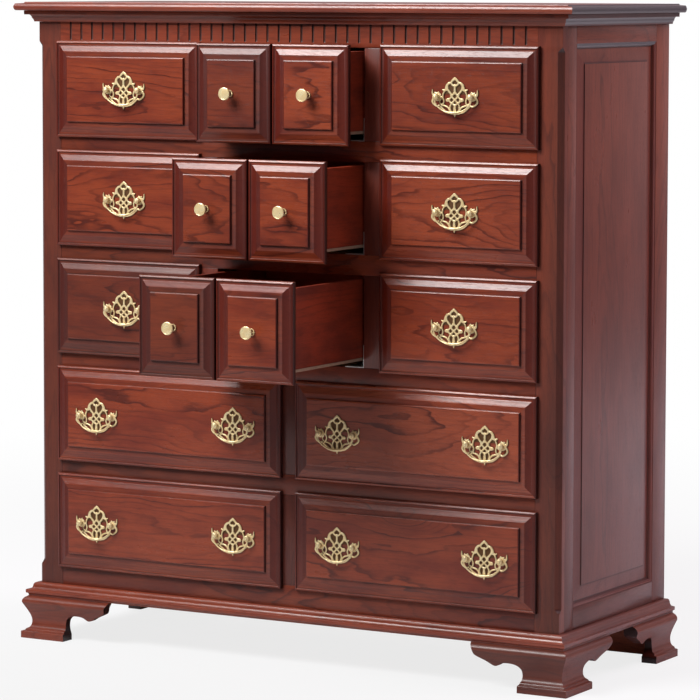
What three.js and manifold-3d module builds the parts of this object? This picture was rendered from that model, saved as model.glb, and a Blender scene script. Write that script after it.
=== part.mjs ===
// A block-front chest of drawers: five rows of drawers in a face frame with chamfered corners,
// framed sides, a moulded top and base, and four ogee bracket feet.
// Millimetres, +Z up, the front looks towards -Y, and the origin is on the floor in the middle.
import * as THREE from "three";
import { mergeVertices } from "three/addons/utils/BufferGeometryUtils.js";
import Module from "manifold-3d";

const wasm = await Module();
wasm.setup();

// Case
const caseWidth = 1219;
const caseDepth = 483;
const seatGap = 0.3;
const cutOver = 5;

// Drawer rows and columns, measured over the lipped fronts
const rowCount = 5;
const splitRows = 3;
const frontHeight = 193;
const rowGap = 33;
const topMargin = 42.5;
const bottomMargin = 40.5;
const cornerMargin = 49.5;
const columnGap = 36.5;
const centreFrontWidth = 351;
const lipOverlap = 4;

// How far the centre drawers stand open, from the top row down
const restOpen = [65, 155, 275];

// Drawer fronts: the lip, the plug behind it, and the raised block
const lipThickness = 6;
const plugDepth = 14;
const plugClearance = 1.5;
const blockMargin = 30;
const blockRise = 12.7;
const blockGap = 9;
const gapFloor = 2.5;
const blockInsetShares = [0, 0.06, 0.23, 0.7, 0.97, 1];
const blockRiseShares = [0, 0.1, 0.12, 0.63, 0.66, 1];

// Drawer boxes
const boxSideClearance = 2;
const boxBelowTop = 10.5;
const boxAboveBottom = 20.5;
const boxWall = 12;
const boxBottom = 8;
const boxBackRoom = 26;

// Face frame and its chamfered corners
const frameThickness = 22;
const chamfer = 10;
const chamferEndTop = 38;
const chamferEndBottom = 44;
const chamferStop = 13;
const chamferTurn = 45;

// Grooved rail under the top
const groovePitch = 26.5;
const grooveWidth = 5;
const grooveDepth = 2.5;
const grooveFoot = 9;
const grooveCount = 41;

// Framed sides
const sideThickness = 20;
const sideStile = 60;
const sideTopRail = 34;
const sideBottomRail = 43;
const sideSticking = 9;
const sideRecess = 8;
const sideBevel = 30;
const sideBevelRise = 6.5;

// Back, dust boards, dividers and runners
const backThickness = 10;
const dustThickness = 16;
const dividerThickness = 20;
const runnerWidth = 16;
const bottomThickness = 19;

// Top board, the board under it and the bed moulding
const topHeight = 18;
const topOverhang = 38.8;
const topOverhangShares = [1, 1, 0.95, 0.61, 0.56, 0.53];
const topHeightShares = [0, 0.5, 0.6, 0.76, 0.84, 1];
const subBoardHeight = 8.5;
const subBoardOverhang = 22.8;
const bedHeight = 14.5;
const bedOverhang = 14.4;
const bedOverhangShares = [0.5, 0.62, 0.78, 1];
const bedHeightShares = [0, 0.1, 0.48, 1];

// Base moulding, outer face from its top to its foot
const baseHeight = 27;
const baseOverhang = 24.3;
const baseInside = 30;
const baseOverhangShares = [0.3, 0.51, 0.63, 0.72, 1, 1, 0.86, 0.81];
const baseHeightShares = [1, 0.84, 0.55, 0.48, 0.46, 0.2, 0.15, 0];

// Bracket feet: the ogee face, and the bracket's outline from the corner inwards
const footHeight = 90;
const footOverhang = 32;
const footStock = 44;
const footLength = 184;
const rearBoard = 22;
const rearFlatShare = 0.7;
const rearRiseShare = 0.62;
const ogeeOverhangShares = [0.62, 0.68, 0.95, 0.93, 0.76, 0.53, 0.456, 0.48, 0.67, 0.95, 1, 1];
const ogeeHeightShares = [1, 0.97, 0.89, 0.82, 0.71, 0.53, 0.4, 0.285, 0.195, 0.165, 0.155, 0];
const bracketLengthShares = [0.457, 0.457, 0.38, 0.337, 0.36, 0.424, 0.533, 0.61, 0.66, 0.7, 0.815, 0.935, 0.985, 1];
const bracketHeightShares = [0, 0.13, 0.24, 0.38, 0.51, 0.62, 0.66, 0.63, 0.575, 0.6, 0.69, 0.81, 0.91, 1];

// Pierced back plates of the bail pulls, right half from the top point round to the bottom point
const plateMargin = 8.9;
const plateHalfHeight = 38.5;
const plateThickness = 1.6;
const plateEmbed = 0.4;
const plateAcrossShares = [
  0, 0.11, 0.19, 0.29, 0.38, 0.43, 0.54, 0.5, 0.5, 0.57, 0.65, 0.82, 0.91, 0.96, 1, 0.96,
  0.88, 0.74, 0.6, 0.52, 0.52, 0.59, 0.47, 0.27, 0.1, 0,
];
const plateUpShares = [
  1, 0.85, 0.78, 0.73, 0.62, 0.46, 0.41, 0.26, 0.1, 0.12, 0.32, 0.33, 0.28, 0.45, 0.22, 0.03,
  -0.14, -0.24, -0.19, -0.2, -0.36, -0.47, -0.66, -0.79, -0.87, -1,
];
const kiteShares = [[0, 0.83], [-0.1, 0.71], [0, 0.58], [0.1, 0.71]];
const leafShares = [[0.1, 0.46], [0.1, 0.28], [0.15, 0.17], [0.24, 0.36], [0.28, 0.54], [0.17, 0.57]];
const upperWindowShares = [[0.22, 0.04], [0.43, 0.02], [0.42, 0.25], [0.29, 0.24]];
const lowerWindowShares = [[0.24, -0.19], [0.29, -0.38], [0.43, -0.36], [0.38, -0.17]];

// Posts that carry the bails
const postSpacing = 76.2;
const postRadius = 4;
const postStand = 13.5;
const pivotStand = 9;
const postSides = 10;
const pinRadius = 1.5;
const pinHole = 2.1;
const pinDepth = 4;
const pinSides = 8;
const widePullSpacing = 333;

// Bails: the swing from the pivot line down, right half from the pin to the middle
const bailRadius = 2;
const bailPostGap = 0.5;
const bailDrop = 35;
const bailSides = 6;
const bailSteps = 18;
const bailAcrossShares = [1, 1, 0.955, 0.86, 0.71, 0.52, 0.27, 0];
const bailDropShares = [0, 0.17, 0.34, 0.51, 0.68, 0.84, 0.955, 1];

// Turned knobs, from the seat on the front out to the face
const knobLength = 30;
const knobRadius = 12.5;
const knobSides = 16;
const knobRadiusShares = [0, 0.66, 0.66, 0.5, 0.3, 0.34, 0.62, 0.94, 1, 0.9, 0];
const knobLengthShares = [0, 0, 0.1, 0.18, 0.3, 0.6, 0.76, 0.84, 0.9, 0.97, 1];

// Levels and places that follow from the sizes above
const halfWidth = caseWidth / 2;
const rowPitch = frontHeight + rowGap;
const caseHeight = topMargin + rowCount * rowPitch - rowGap + bottomMargin;
const baseTop = footHeight + baseHeight;
const caseTop = baseTop + caseHeight;
const openingInset = lipOverlap;
const plateHalfWidth = postSpacing / 2 + postRadius + plateMargin;
const bailHalfWidth = postSpacing / 2 + postRadius + bailPostGap + bailRadius;
const columnInner = centreFrontWidth / 2 + columnGap;
const columnOuter = halfWidth - cornerMargin;
const wideInner = columnGap / 2;
const fieldFace = lipThickness + blockRise + seatGap;
const boxFront = plugDepth + seatGap;
const boxBack = caseDepth - backThickness - boxBackRoom;
const postTop = caseTop - seatGap;
const openingOuter = columnOuter - openingInset;

const rowTop = (row) => caseTop - topMargin - row * rowPitch;
const rowBottom = (row) => rowTop(row) - frontHeight;
const middle = (low, high) => (low + high) / 2;

// Finishes
const finish = (color, roughness, metalness = 0) => () =>
  new THREE.MeshStandardMaterial({ color, roughness, metalness });
const cherryFront = finish(0x8a4332, 0.32);
const cherryCase = finish(0x6b3a33, 0.36);
const drawerSide = finish(0x70302a, 0.45);
const innerWood = finish(0x7b5a42, 0.7);
const brass = finish(0xd9bd86, 0.3, 0.9);

const chest = new THREE.Group();

// Solids
function solidOf(geometry) {
  geometry.deleteAttribute("normal");
  geometry.deleteAttribute("uv");
  const merged = mergeVertices(geometry);
  return new wasm.Manifold(
    new wasm.Mesh({
      numProp: 3,
      vertProperties: merged.attributes.position.array,
      triVerts: new Uint32Array(merged.index.array),
    }),
  );
}

function geometryOf(solid) {
  const mesh = solid.getMesh();
  const geometry = new THREE.BufferGeometry();
  geometry.setAttribute("position", new THREE.BufferAttribute(mesh.vertProperties, mesh.numProp));
  geometry.setIndex(new THREE.BufferAttribute(mesh.triVerts, 1));
  geometry.computeVertexNormals();
  return geometry;
}

function addPiece(name, solid, material) {
  const mesh = new THREE.Mesh(geometryOf(solid), material());
  mesh.name = name;
  chest.add(mesh);
}

// A box between two corners
function block(x0, x1, y0, y1, z0, z1) {
  const geometry = new THREE.BoxGeometry(x1 - x0, y1 - y0, z1 - z0);
  geometry.translate(middle(x0, x1), middle(y0, y1), middle(z0, z1));
  return solidOf(geometry);
}

const joined = (solids) => solids.reduce((all, next) => all.add(next));
const cut = (solid, tools) => tools.reduce((left, tool) => left.subtract(tool), solid);

// Rings of four points each, stacked into one closed solid
function stackedRings(rings) {
  const points = rings.flat(2);
  const index = [0, 2, 1, 0, 3, 2];
  const sides = 4;
  for (let ring = 0; ring < rings.length - 1; ring++) {
    for (let side = 0; side < sides; side++) {
      const a = ring * sides + side;
      const b = ring * sides + ((side + 1) % sides);
      index.push(a, b, b + sides, a, b + sides, a + sides);
    }
  }
  const last = (rings.length - 1) * sides;
  index.push(last, last + 1, last + 2, last, last + 2, last + 3);
  const geometry = new THREE.BufferGeometry();
  geometry.setAttribute("position", new THREE.Float32BufferAttribute(points, 3));
  geometry.setIndex(index);
  return solidOf(geometry);
}

// A plate with moulded front and side edges and a plain back edge
function mouldedPlate(levels) {
  return stackedRings(
    levels.map(([overhang, z]) => [
      [-halfWidth - overhang, -overhang, z],
      [halfWidth + overhang, -overhang, z],
      [halfWidth + overhang, caseDepth, z],
      [-halfWidth - overhang, caseDepth, z],
    ]),
  );
}

// A rectangle in the plane of the front, as a ring at one depth
const frontRing = (x0, x1, z0, z1, y) => [[x0, y, z0], [x1, y, z0], [x1, y, z1], [x0, y, z1]];

// Pairs of numbers as a run of points, always counterclockwise
function counterclockwise(pairs) {
  const points = pairs.map(([across, up]) => new THREE.Vector2(across, up));
  return THREE.ShapeUtils.isClockWise(points) ? points.reverse() : points;
}

// A closed outline extruded along Y, its points given as across and up
function outlineAlongY(points, y0, y1, holes = []) {
  const shape = new THREE.Shape(counterclockwise(points));
  shape.holes = holes.map((hole) => new THREE.Path(counterclockwise(hole)));
  const geometry = new THREE.ExtrudeGeometry(shape, { depth: y1 - y0, bevelEnabled: false });
  geometry.rotateX(Math.PI / 2);
  geometry.translate(0, y1, 0);
  return solidOf(geometry);
}

// The same outline turned a quarter, so its across runs along Y and it is extruded along X
function outlineAlongX(points, x0, x1) {
  const shape = new THREE.Shape(counterclockwise(points));
  const geometry = new THREE.ExtrudeGeometry(shape, { depth: x1 - x0, bevelEnabled: false });
  geometry.rotateX(Math.PI / 2);
  geometry.rotateZ(Math.PI / 2);
  geometry.translate(x0, 0, 0);
  return solidOf(geometry);
}

// Top
const topBase = caseTop + bedHeight + subBoardHeight;
addPiece(
  "top_board",
  mouldedPlate(
    topOverhangShares.map((share, i) => [
      share * topOverhang,
      topBase + seatGap + topHeightShares[i] * (topHeight - seatGap),
    ]),
  ),
  cherryCase,
);
const bedLevels = bedOverhangShares.map((share, i) => [
  share * bedOverhang,
  caseTop + bedHeightShares[i] * bedHeight,
]);
const subBoardLevels = [
  [subBoardOverhang, caseTop + bedHeight],
  [subBoardOverhang, topBase],
];
addPiece("cornice_moulding", mouldedPlate([...bedLevels, ...subBoardLevels]), cherryCase);

// Grooved rail between the corner posts
const railBottom = rowTop(0) - openingInset;
const grooves = [];
for (let i = 0; i < grooveCount; i++) {
  const x = (i - (grooveCount - 1) / 2) * groovePitch;
  grooves.push(
    block(
      x - grooveWidth / 2,
      x + grooveWidth / 2,
      -cutOver,
      grooveDepth,
      railBottom + grooveFoot,
      caseTop + cutOver,
    ),
  );
}
addPiece(
  "frieze_rail",
  cut(
    block(-openingOuter + seatGap, openingOuter - seatGap, 0, frameThickness, railBottom + seatGap, postTop),
    grooves,
  ),
  cherryCase,
);

// The drawers: name, row, and the left and right edges of the front
const drawers = [];
for (let row = 0; row < rowCount; row++) {
  if (row < splitRows) {
    drawers.push({ name: `row${row + 1}_left`, row, x0: -columnOuter, x1: -columnInner, pulls: 1 });
    drawers.push({
      name: `row${row + 1}_centre`,
      row,
      x0: -centreFrontWidth / 2,
      x1: centreFrontWidth / 2,
      pulls: 0,
      open: restOpen[row],
    });
    drawers.push({ name: `row${row + 1}_right`, row, x0: columnInner, x1: columnOuter, pulls: 1 });
  } else {
    drawers.push({ name: `row${row + 1}_left`, row, x0: -columnOuter, x1: -wideInner, pulls: 2 });
    drawers.push({ name: `row${row + 1}_right`, row, x0: wideInner, x1: columnOuter, pulls: 2 });
  }
}

// Face frame, with stopped chamfers on its outer corners
function chamferTool(sign) {
  const low = baseTop + chamferEndBottom;
  const high = caseTop - chamferEndTop;
  const depth = chamfer / Math.SQRT2;
  const outline = [
    [cutOver, low],
    [0, low],
    [-depth / 4, low + chamferStop / 3],
    [-depth, low + chamferStop],
    [-depth, high - chamferStop],
    [-depth / 4, high - chamferStop / 3],
    [0, high],
    [cutOver, high],
  ];
  const reach = chamfer + cutOver;
  const across = outlineAlongY(outline, -reach, reach);
  const tool = across.rotate([0, 0, -chamferTurn]).translate([halfWidth, 0, 0]);
  return sign > 0 ? tool : tool.mirror([1, 0, 0]);
}
const frameBottom = baseTop + seatGap;
const openings = drawers.map(({ row, x0, x1 }) =>
  block(
    x0 + openingInset,
    x1 - openingInset,
    -cutOver,
    frameThickness + cutOver,
    rowBottom(row) + openingInset,
    rowTop(row) - openingInset,
  ),
);
const friezeNotch = block(
  -openingOuter,
  openingOuter,
  -cutOver,
  frameThickness + cutOver,
  railBottom,
  caseTop + cutOver,
);
addPiece(
  "face_frame",
  cut(block(-halfWidth, halfWidth, 0, frameThickness, frameBottom, postTop), [
    friezeNotch,
    ...openings,
    chamferTool(-1),
    chamferTool(1),
  ]),
  cherryCase,
);

// Framed sides: a stepped recess round a raised panel, built for the right side and mirrored
function sideRing(x, inFront, inBack, inBottom, inTop) {
  const y0 = frameThickness + seatGap + inFront;
  const y1 = caseDepth - inBack;
  const z0 = frameBottom + inBottom;
  const z1 = postTop - inTop;
  return [[x, y0, z0], [x, y1, z0], [x, y1, z1], [x, y0, z1]];
}
function framedSide() {
  const frontStile = sideStile - frameThickness - seatGap;
  const panelRing = (x, inset) =>
    sideRing(x, frontStile + inset, sideStile + inset, sideBottomRail + inset, sideTopRail + inset);
  return stackedRings([
    sideRing(halfWidth - sideThickness, 0, 0, 0, 0),
    sideRing(halfWidth, 0, 0, 0, 0),
    panelRing(halfWidth, 0),
    panelRing(halfWidth - sideRecess, sideSticking),
    panelRing(halfWidth - sideRecess + sideBevelRise, sideSticking + sideBevel),
  ]);
}
addPiece("right_side", framedSide(), cherryCase);
addPiece("left_side", framedSide().mirror([1, 0, 0]), cherryCase);

// Back panel between the sides
const sideInner = halfWidth - sideThickness - seatGap;
const backInner = caseDepth - backThickness - seatGap;
addPiece(
  "back_panel",
  block(-sideInner, sideInner, caseDepth - backThickness, caseDepth, frameBottom, postTop),
  innerWood,
);

// Dust boards, dividers and runners, joined as one inner frame
const innerFront = frameThickness + seatGap;
const dustTop = (row) => rowBottom(row) + openingInset;
const innerFrame = [];
for (let row = 0; row < rowCount; row++) {
  innerFrame.push(
    block(-sideInner, sideInner, innerFront, backInner, dustTop(row) - dustThickness, dustTop(row)),
  );
  const ceiling = row === 0 ? postTop : dustTop(row - 1) - dustThickness + seatGap;
  const dividers = row < splitRows ? [-1, 1] : [0];
  for (const side of dividers) {
    const x = side * (columnInner - columnGap / 2);
    innerFrame.push(
      block(
        x - dividerThickness / 2,
        x + dividerThickness / 2,
        innerFront,
        backInner,
        dustTop(row) - seatGap,
        ceiling,
      ),
    );
  }
}
for (const { row, x0, x1 } of drawers) {
  const runnerTop = rowBottom(row) + boxAboveBottom - seatGap;
  const low = x0 + openingInset + boxSideClearance;
  const high = x1 - openingInset - boxSideClearance;
  for (const x of [low, high - runnerWidth]) {
    innerFrame.push(
      block(x, x + runnerWidth, innerFront, backInner, dustTop(row) - seatGap, runnerTop),
    );
  }
}
addPiece("inner_frame", joined(innerFrame), innerWood);

// Bottom board inside the base moulding
const bandInner = baseInside + seatGap;
addPiece(
  "bottom_board",
  block(
    -halfWidth + bandInner,
    halfWidth - bandInner,
    bandInner,
    caseDepth,
    baseTop - bottomThickness,
    baseTop,
  ),
  innerWood,
);

// Base moulding: three mitred lengths round the front and sides
function baseMoulding() {
  const profile = baseOverhangShares.map((share, i) => [
    share * baseOverhang,
    footHeight + baseHeightShares[i] * baseHeight,
  ]);
  profile.push([-baseInside, footHeight], [-baseInside, baseTop]);
  const station = (across, back) =>
    profile.map(([overhang, z]) => [
      across * (halfWidth + overhang),
      back ? caseDepth : -overhang,
      z,
    ]);
  const rings = [station(-1, true), station(-1, false), station(1, false), station(1, true)];
  const count = profile.length;
  const index = [];
  for (let ring = 0; ring < rings.length - 1; ring++) {
    for (let i = 0; i < count; i++) {
      const a = ring * count + i;
      const b = ring * count + ((i + 1) % count);
      index.push(a, b, b + count, a, b + count, a + count);
    }
  }
  const flat = profile.map(([overhang, z]) => new THREE.Vector2(overhang, z));
  const last = (rings.length - 1) * count;
  for (const [a, b, c] of THREE.ShapeUtils.triangulateShape(flat, [])) {
    index.push(a, b, c, last + a, last + c, last + b);
  }
  const geometry = new THREE.BufferGeometry();
  geometry.setAttribute("position", new THREE.Float32BufferAttribute(rings.flat(2), 3));
  geometry.setIndex(index);
  return solidOf(geometry);
}
addPiece("base_moulding", baseMoulding(), cherryCase);

// Feet, worked out at a corner at zero with the chest towards +X and +Y
const footTop = footHeight - seatGap;
const ogee = ogeeOverhangShares.map((share, i) => [
  -share * footOverhang,
  ogeeHeightShares[i] * footTop,
]);
const ogeeFace = [...ogee, [footLength + cutOver, 0], [footLength + cutOver, footTop]];
const bracket = [
  [-footOverhang - cutOver, 0],
  ...bracketLengthShares.map((share, i) => [share * footLength, bracketHeightShares[i] * footTop]),
  [-footOverhang - cutOver, footTop],
];
const stockInner = footStock - footOverhang;
function frontFoot() {
  const faces = outlineAlongY(ogeeFace, -footOverhang - cutOver, footLength + cutOver).intersect(
    outlineAlongX(ogeeFace, -footOverhang - cutOver, footLength + cutOver),
  );
  const boards = outlineAlongY(bracket, -footOverhang - cutOver, stockInner).add(
    outlineAlongX(bracket, -footOverhang - cutOver, stockInner),
  );
  return faces.intersect(boards);
}
function rearFoot() {
  const plain = [
    [-footOverhang - cutOver, 0],
    [rearFlatShare * footLength, 0],
    [footLength, rearRiseShare * footTop],
    [footLength, footTop],
    [-footOverhang - cutOver, footTop],
  ];
  const faces = outlineAlongY(ogeeFace, 0, footLength + cutOver);
  const boards = outlineAlongX(bracket, -footOverhang - cutOver, stockInner).add(
    outlineAlongY(plain, 0, rearBoard),
  );
  return faces.intersect(boards);
}
const atFrontLeft = frontFoot().translate([-halfWidth, 0, 0]);
const atRearLeft = rearFoot().mirror([0, 1, 0]).translate([-halfWidth, caseDepth, 0]);
addPiece("foot_front_left", atFrontLeft, cherryCase);
addPiece("foot_front_right", atFrontLeft.mirror([1, 0, 0]), cherryCase);
addPiece("foot_rear_left", atRearLeft, cherryCase);
addPiece("foot_rear_right", atRearLeft.mirror([1, 0, 0]), cherryCase);

// A raised block on a drawer front, from a rectangle of the lip out to the field
function blockRings(x0, x1, z0, z1) {
  return blockInsetShares.map((share, i) => {
    const inset = share * blockMargin;
    const y = -seatGap - lipThickness - blockRiseShares[i] * blockRise;
    return frontRing(x0 + inset, x1 - inset, z0 + inset, z1 - inset, y);
  });
}
function frontBack(x0, x1, z0, z1) {
  const inset = openingInset + plugClearance;
  return [
    frontRing(x0 + inset, x1 - inset, z0 + inset, z1 - inset, plugDepth),
    frontRing(x0 + inset, x1 - inset, z0 + inset, z1 - inset, -seatGap),
    frontRing(x0, x1, z0, z1, -seatGap),
  ];
}

// A pierced plate with its two posts, for a pull whose pivot line is at zero
const scaledPlate = (points, sign = 1) =>
  points.map(([across, up]) => [sign * across * plateHalfWidth, up * plateHalfHeight]);
function pullPlate() {
  const right = plateAcrossShares.map((across, i) => [across, plateUpShares[i]]);
  const left = right.slice(1, -1).reverse();
  const outline = [...scaledPlate(right), ...scaledPlate(left, -1)];
  const holes = [
    scaledPlate(kiteShares),
    ...[leafShares, upperWindowShares, lowerWindowShares].flatMap((hole) => [
      scaledPlate(hole),
      scaledPlate(hole, -1),
    ]),
  ];
  const plate = outlineAlongY(outline, -plateThickness, plateEmbed, holes);
  const posts = [-1, 1].map((side) => {
    const shaft = new THREE.CylinderGeometry(postRadius, postRadius, postStand, postSides);
    shaft.translate((side * postSpacing) / 2, -postStand / 2 - plateThickness / 2, 0);
    const hole = new THREE.CylinderGeometry(pinHole, pinHole, pinDepth + cutOver, pinSides);
    hole.rotateZ(Math.PI / 2);
    hole.translate(
      side * (postSpacing / 2 + postRadius - pinDepth + (pinDepth + cutOver) / 2),
      -pivotStand - plateThickness,
      0,
    );
    return solidOf(shaft).subtract(solidOf(hole));
  });
  return joined([plate, ...posts]);
}
const onePull = pullPlate();

// A bail hanging from its pins, for a pull whose pivot line is at zero
function pullBail() {
  const right = bailAcrossShares.map(
    (share, i) => new THREE.Vector3(share * bailHalfWidth, 0, -bailDropShares[i] * bailDrop),
  );
  const left = right
    .slice(0, -1)
    .reverse()
    .map((point) => new THREE.Vector3(-point.x, 0, point.z));
  const curve = new THREE.CatmullRomCurve3([...right, ...left]);
  const section = new THREE.Shape();
  for (let i = 0; i < bailSides; i++) {
    const turn = (2 * Math.PI * i) / bailSides;
    const x = bailRadius * Math.cos(turn);
    const y = bailRadius * Math.sin(turn);
    if (i === 0) section.moveTo(x, y);
    else section.lineTo(x, y);
  }
  section.closePath();
  const tube = new THREE.ExtrudeGeometry(section, { steps: bailSteps, extrudePath: curve });
  const pinInner = postSpacing / 2 + postRadius - pinDepth + seatGap;
  const pins = [-1, 1].map((side) => {
    const pin = new THREE.CylinderGeometry(
      pinRadius,
      pinRadius,
      bailHalfWidth + bailRadius - pinInner,
      pinSides,
    );
    pin.rotateZ(Math.PI / 2);
    pin.translate(side * middle(pinInner, bailHalfWidth + bailRadius), 0, 0);
    return solidOf(pin);
  });
  return joined([solidOf(tube), ...pins]);
}
const oneBail = pullBail();

// A turned knob seated on a front at zero
function turnedKnob() {
  const profile = knobRadiusShares.map(
    (share, i) => new THREE.Vector2(share * knobRadius, knobLengthShares[i] * knobLength),
  );
  const geometry = new THREE.LatheGeometry(profile, knobSides);
  geometry.rotateX(Math.PI);
  return solidOf(geometry);
}
const oneKnob = turnedKnob();

// Drawers, closed first and then drawn out by what they stand open
for (const { name, row, x0, x1, pulls, open = 0 } of drawers) {
  const z0 = rowBottom(row);
  const z1 = rowTop(row);
  const pullHeight = middle(z0, z1);
  const back = frontBack(x0, x1, z0, z1);
  const centres = [];
  let front;
  if (pulls === 0) {
    const floor = frontRing(x0, x1, z0, z1, -lipThickness + gapFloor);
    const inner = blockGap / 2;
    front = stackedRings([...back, floor])
      .add(stackedRings([frontRing(x0, -inner, z0, z1, -lipThickness / 2), ...blockRings(x0, -inner, z0, z1)]))
      .add(stackedRings([frontRing(inner, x1, z0, z1, -lipThickness / 2), ...blockRings(inner, x1, z0, z1)]));
    const knobOffset = middle(inner, x1);
    for (const [side, label] of [[-1, "left"], [1, "right"]]) {
      const knob = oneKnob.translate([side * knobOffset, -fieldFace - seatGap - open, pullHeight]);
      addPiece(`knob_row${row + 1}_${label}`, knob, brass);
    }
  } else {
    front = stackedRings([...back, ...blockRings(x0, x1, z0, z1)]);
    const half = pulls === 1 ? 0 : widePullSpacing / 2;
    const labels = pulls === 1 ? [[0, ""]] : [[-1, "_a"], [1, "_b"]];
    for (const [side, label] of labels) {
      const x = middle(x0, x1) + side * half;
      centres.push(x);
      const bail = oneBail.translate([x, -fieldFace - plateThickness - pivotStand, pullHeight]);
      addPiece(`bail_${name}${label}`, bail, brass);
    }
  }
  for (const x of centres) {
    front = front.add(onePull.translate([x, -fieldFace, pullHeight]));
  }
  addPiece(`front_${name}`, front.translate([0, -open, 0]), cherryFront);
  const side = openingInset + boxSideClearance;
  const low = z0 + boxAboveBottom;
  const high = z1 - boxBelowTop;
  const box = block(x0 + side, x1 - side, boxFront, boxBack, low, high).subtract(
    block(
      x0 + side + boxWall,
      x1 - side - boxWall,
      boxFront + boxWall,
      boxBack - boxWall,
      low + boxBottom,
      high + cutOver,
    ),
  );
  addPiece(`box_${name}`, box.translate([0, -open, 0]), drawerSide);
}

// The origin is under the middle of the chest with its centre drawers drawn out
const frontReach = Math.max(...restOpen) + fieldFace + seatGap + knobLength;
chest.position.y = (frontReach - caseDepth) / 2;

export default chest;
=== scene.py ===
import math

import bpy
import numpy as np
from mathutils import Matrix, Vector


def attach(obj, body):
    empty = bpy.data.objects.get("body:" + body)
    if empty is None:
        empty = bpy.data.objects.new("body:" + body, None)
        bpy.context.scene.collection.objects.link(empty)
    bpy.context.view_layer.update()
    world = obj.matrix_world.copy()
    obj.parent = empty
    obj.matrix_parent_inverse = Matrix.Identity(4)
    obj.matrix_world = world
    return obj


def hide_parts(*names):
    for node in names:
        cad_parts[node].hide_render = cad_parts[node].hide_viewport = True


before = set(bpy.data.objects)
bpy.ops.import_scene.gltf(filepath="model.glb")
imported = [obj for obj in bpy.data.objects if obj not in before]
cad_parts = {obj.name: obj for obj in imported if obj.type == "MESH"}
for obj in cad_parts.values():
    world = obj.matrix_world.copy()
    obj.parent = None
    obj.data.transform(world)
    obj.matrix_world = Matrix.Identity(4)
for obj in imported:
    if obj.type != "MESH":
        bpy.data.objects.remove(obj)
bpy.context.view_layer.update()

# Lengths are millimetres: x from the chest's middle, y from the case's front face towards the back,
# z from the floor.
chest = {
    "halfWidth": 609.5, "depth": 483, "baseTop": 117, "caseTop": 1297,
    "low": 117.3, "high": 1296.7,  # ends of the case's upright boards
    "insideX": 589.2, "insideFront": 22.3, "insideBack": 472.7,
    "faceY": -79.35,  # the front face in the frame's own y
    "rowTop": 1254.5, "rowPitch": 226, "frontHeight": 193,
    "open": [65, 155, 275, 0, 0],
}
rowBottoms = [chest["rowTop"] - row * chest["rowPitch"] - chest["frontHeight"] for row in range(5)]
drawers = []
for row, low in enumerate(rowBottoms):
    if row < 3:
        spans = {"left": (-560, -212), "centre": (-175.5, 175.5), "right": (212, 560)}
    else:
        spans = {"left": (-560, -18.25), "right": (18.25, 560)}
    for place, (x0, x1) in spans.items():
        drawers.append({
            "name": f"row{row + 1}_{place}", "row": row, "place": place, "x0": x0, "x1": x1,
            "z0": low, "z1": low + chest["frontHeight"],
            "open": chest["open"][row] if place == "centre" else 0,
        })


# Meshes
def quadGrid(rows, columns, wrap=False):
    # quad (i, j) = [i c + j, i c + j + 1, (i + 1) c + j + 1, (i + 1) c + j], with j + 1 taken modulo c
    # when wrapped
    i, j = np.meshgrid(np.arange(rows - 1), np.arange(columns if wrap else columns - 1), indexing="ij")
    k = (j + 1) % columns
    low, high = i * columns, (i + 1) * columns
    return np.stack([low + j, low + k, high + k, high + j], axis=-1).reshape(-1, 4)


def newShell(points, faces, grain, tint, along=0):
    return {"points": points, "faces": faces, "grain": grain, "tint": tint, "along": along}


def grainOf(points, along, across, seed):
    # (distance along the board, across it, through it) in metres, moved by a seeded place in the log
    rng = np.random.default_rng(seed)
    through = 3 - along - across
    p = points[:, [along, across, through]] / 1000
    middle = (p.max(0) + p.min(0)) / 2
    pith = np.array([rng.uniform(-9, 9), rng.uniform(-0.06, 0.06), rng.uniform(0.05, 0.16)])
    return p - middle + pith


def loftShell(rings, along=0, across=2, seed=0, tint=None, capped=True):
    # rings (n, m, 3): closed loops joined by quads, with a flat face over the first and the last
    rings = np.asarray(rings, float)
    n, m = rings.shape[:2]
    faces = [quadGrid(n, m, wrap=True)]
    if capped:
        faces += [np.arange(m)[None, ::-1], (n - 1) * m + np.arange(m)[None, :]]
    points = rings.reshape(-1, 3)
    spread = np.zeros(n * m) if tint is None else np.repeat(np.asarray(tint, float), m)
    return newShell(points, faces, grainOf(points, along, across, seed), spread, along)


def roundedRectangle(halfA, halfB, radius, steps=2):
    # corner arcs round a rectangle: centre + radius (cos t, sin t), t a quarter turn in so many steps
    t = np.linspace(0, math.pi / 2, steps + 1)
    loop = []
    for k, (a, b) in enumerate([(1, 1), (-1, 1), (-1, -1), (1, -1)]):
        turn = t + k * math.pi / 2
        first = a * (halfA - radius) + radius * np.cos(turn)
        second = b * (halfB - radius) + radius * np.sin(turn)
        loop.append(np.stack([first, second], -1))
    return np.concatenate(loop)


def boardShell(low, high, along, seed, ease=1.2, cuts=()):
    # a board with rounded edges: rounded rectangles inset by e (1 - sin t) at e (1 - cos t) from each end;
    # more rings at the cuts carry a change of tint
    low, high = np.minimum(low, high).astype(float), np.maximum(low, high).astype(float)
    half, middle = (high - low) / 2, (high + low) / 2
    others = [a for a in range(3) if a != along]
    ease = min(ease, 0.45 * half[others].min())
    across = max(others, key=lambda a: half[a])
    b, c = others
    t = np.array([0.15, 0.5, 1.0]) * math.pi / 2
    inset = ease * (1 - np.sin(t))
    place = np.sort(half[along] - ease * (1 - np.cos(t[::-1])))
    steps = list(zip(-place[::-1], inset)) + [(cut - middle[along], 0.0) for cut in cuts]
    rings = []
    for position, e in steps + list(zip(place, inset[::-1])):
        loop = roundedRectangle(half[b] - e, half[c] - e, max(ease - e, 0.1 * ease))
        ring = np.zeros((len(loop), 3))
        ring[:, along], ring[:, b], ring[:, c] = position, loop[:, 0], loop[:, 1]
        rings.append(ring + middle)
    return loftShell(rings, along, across, seed)


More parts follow.
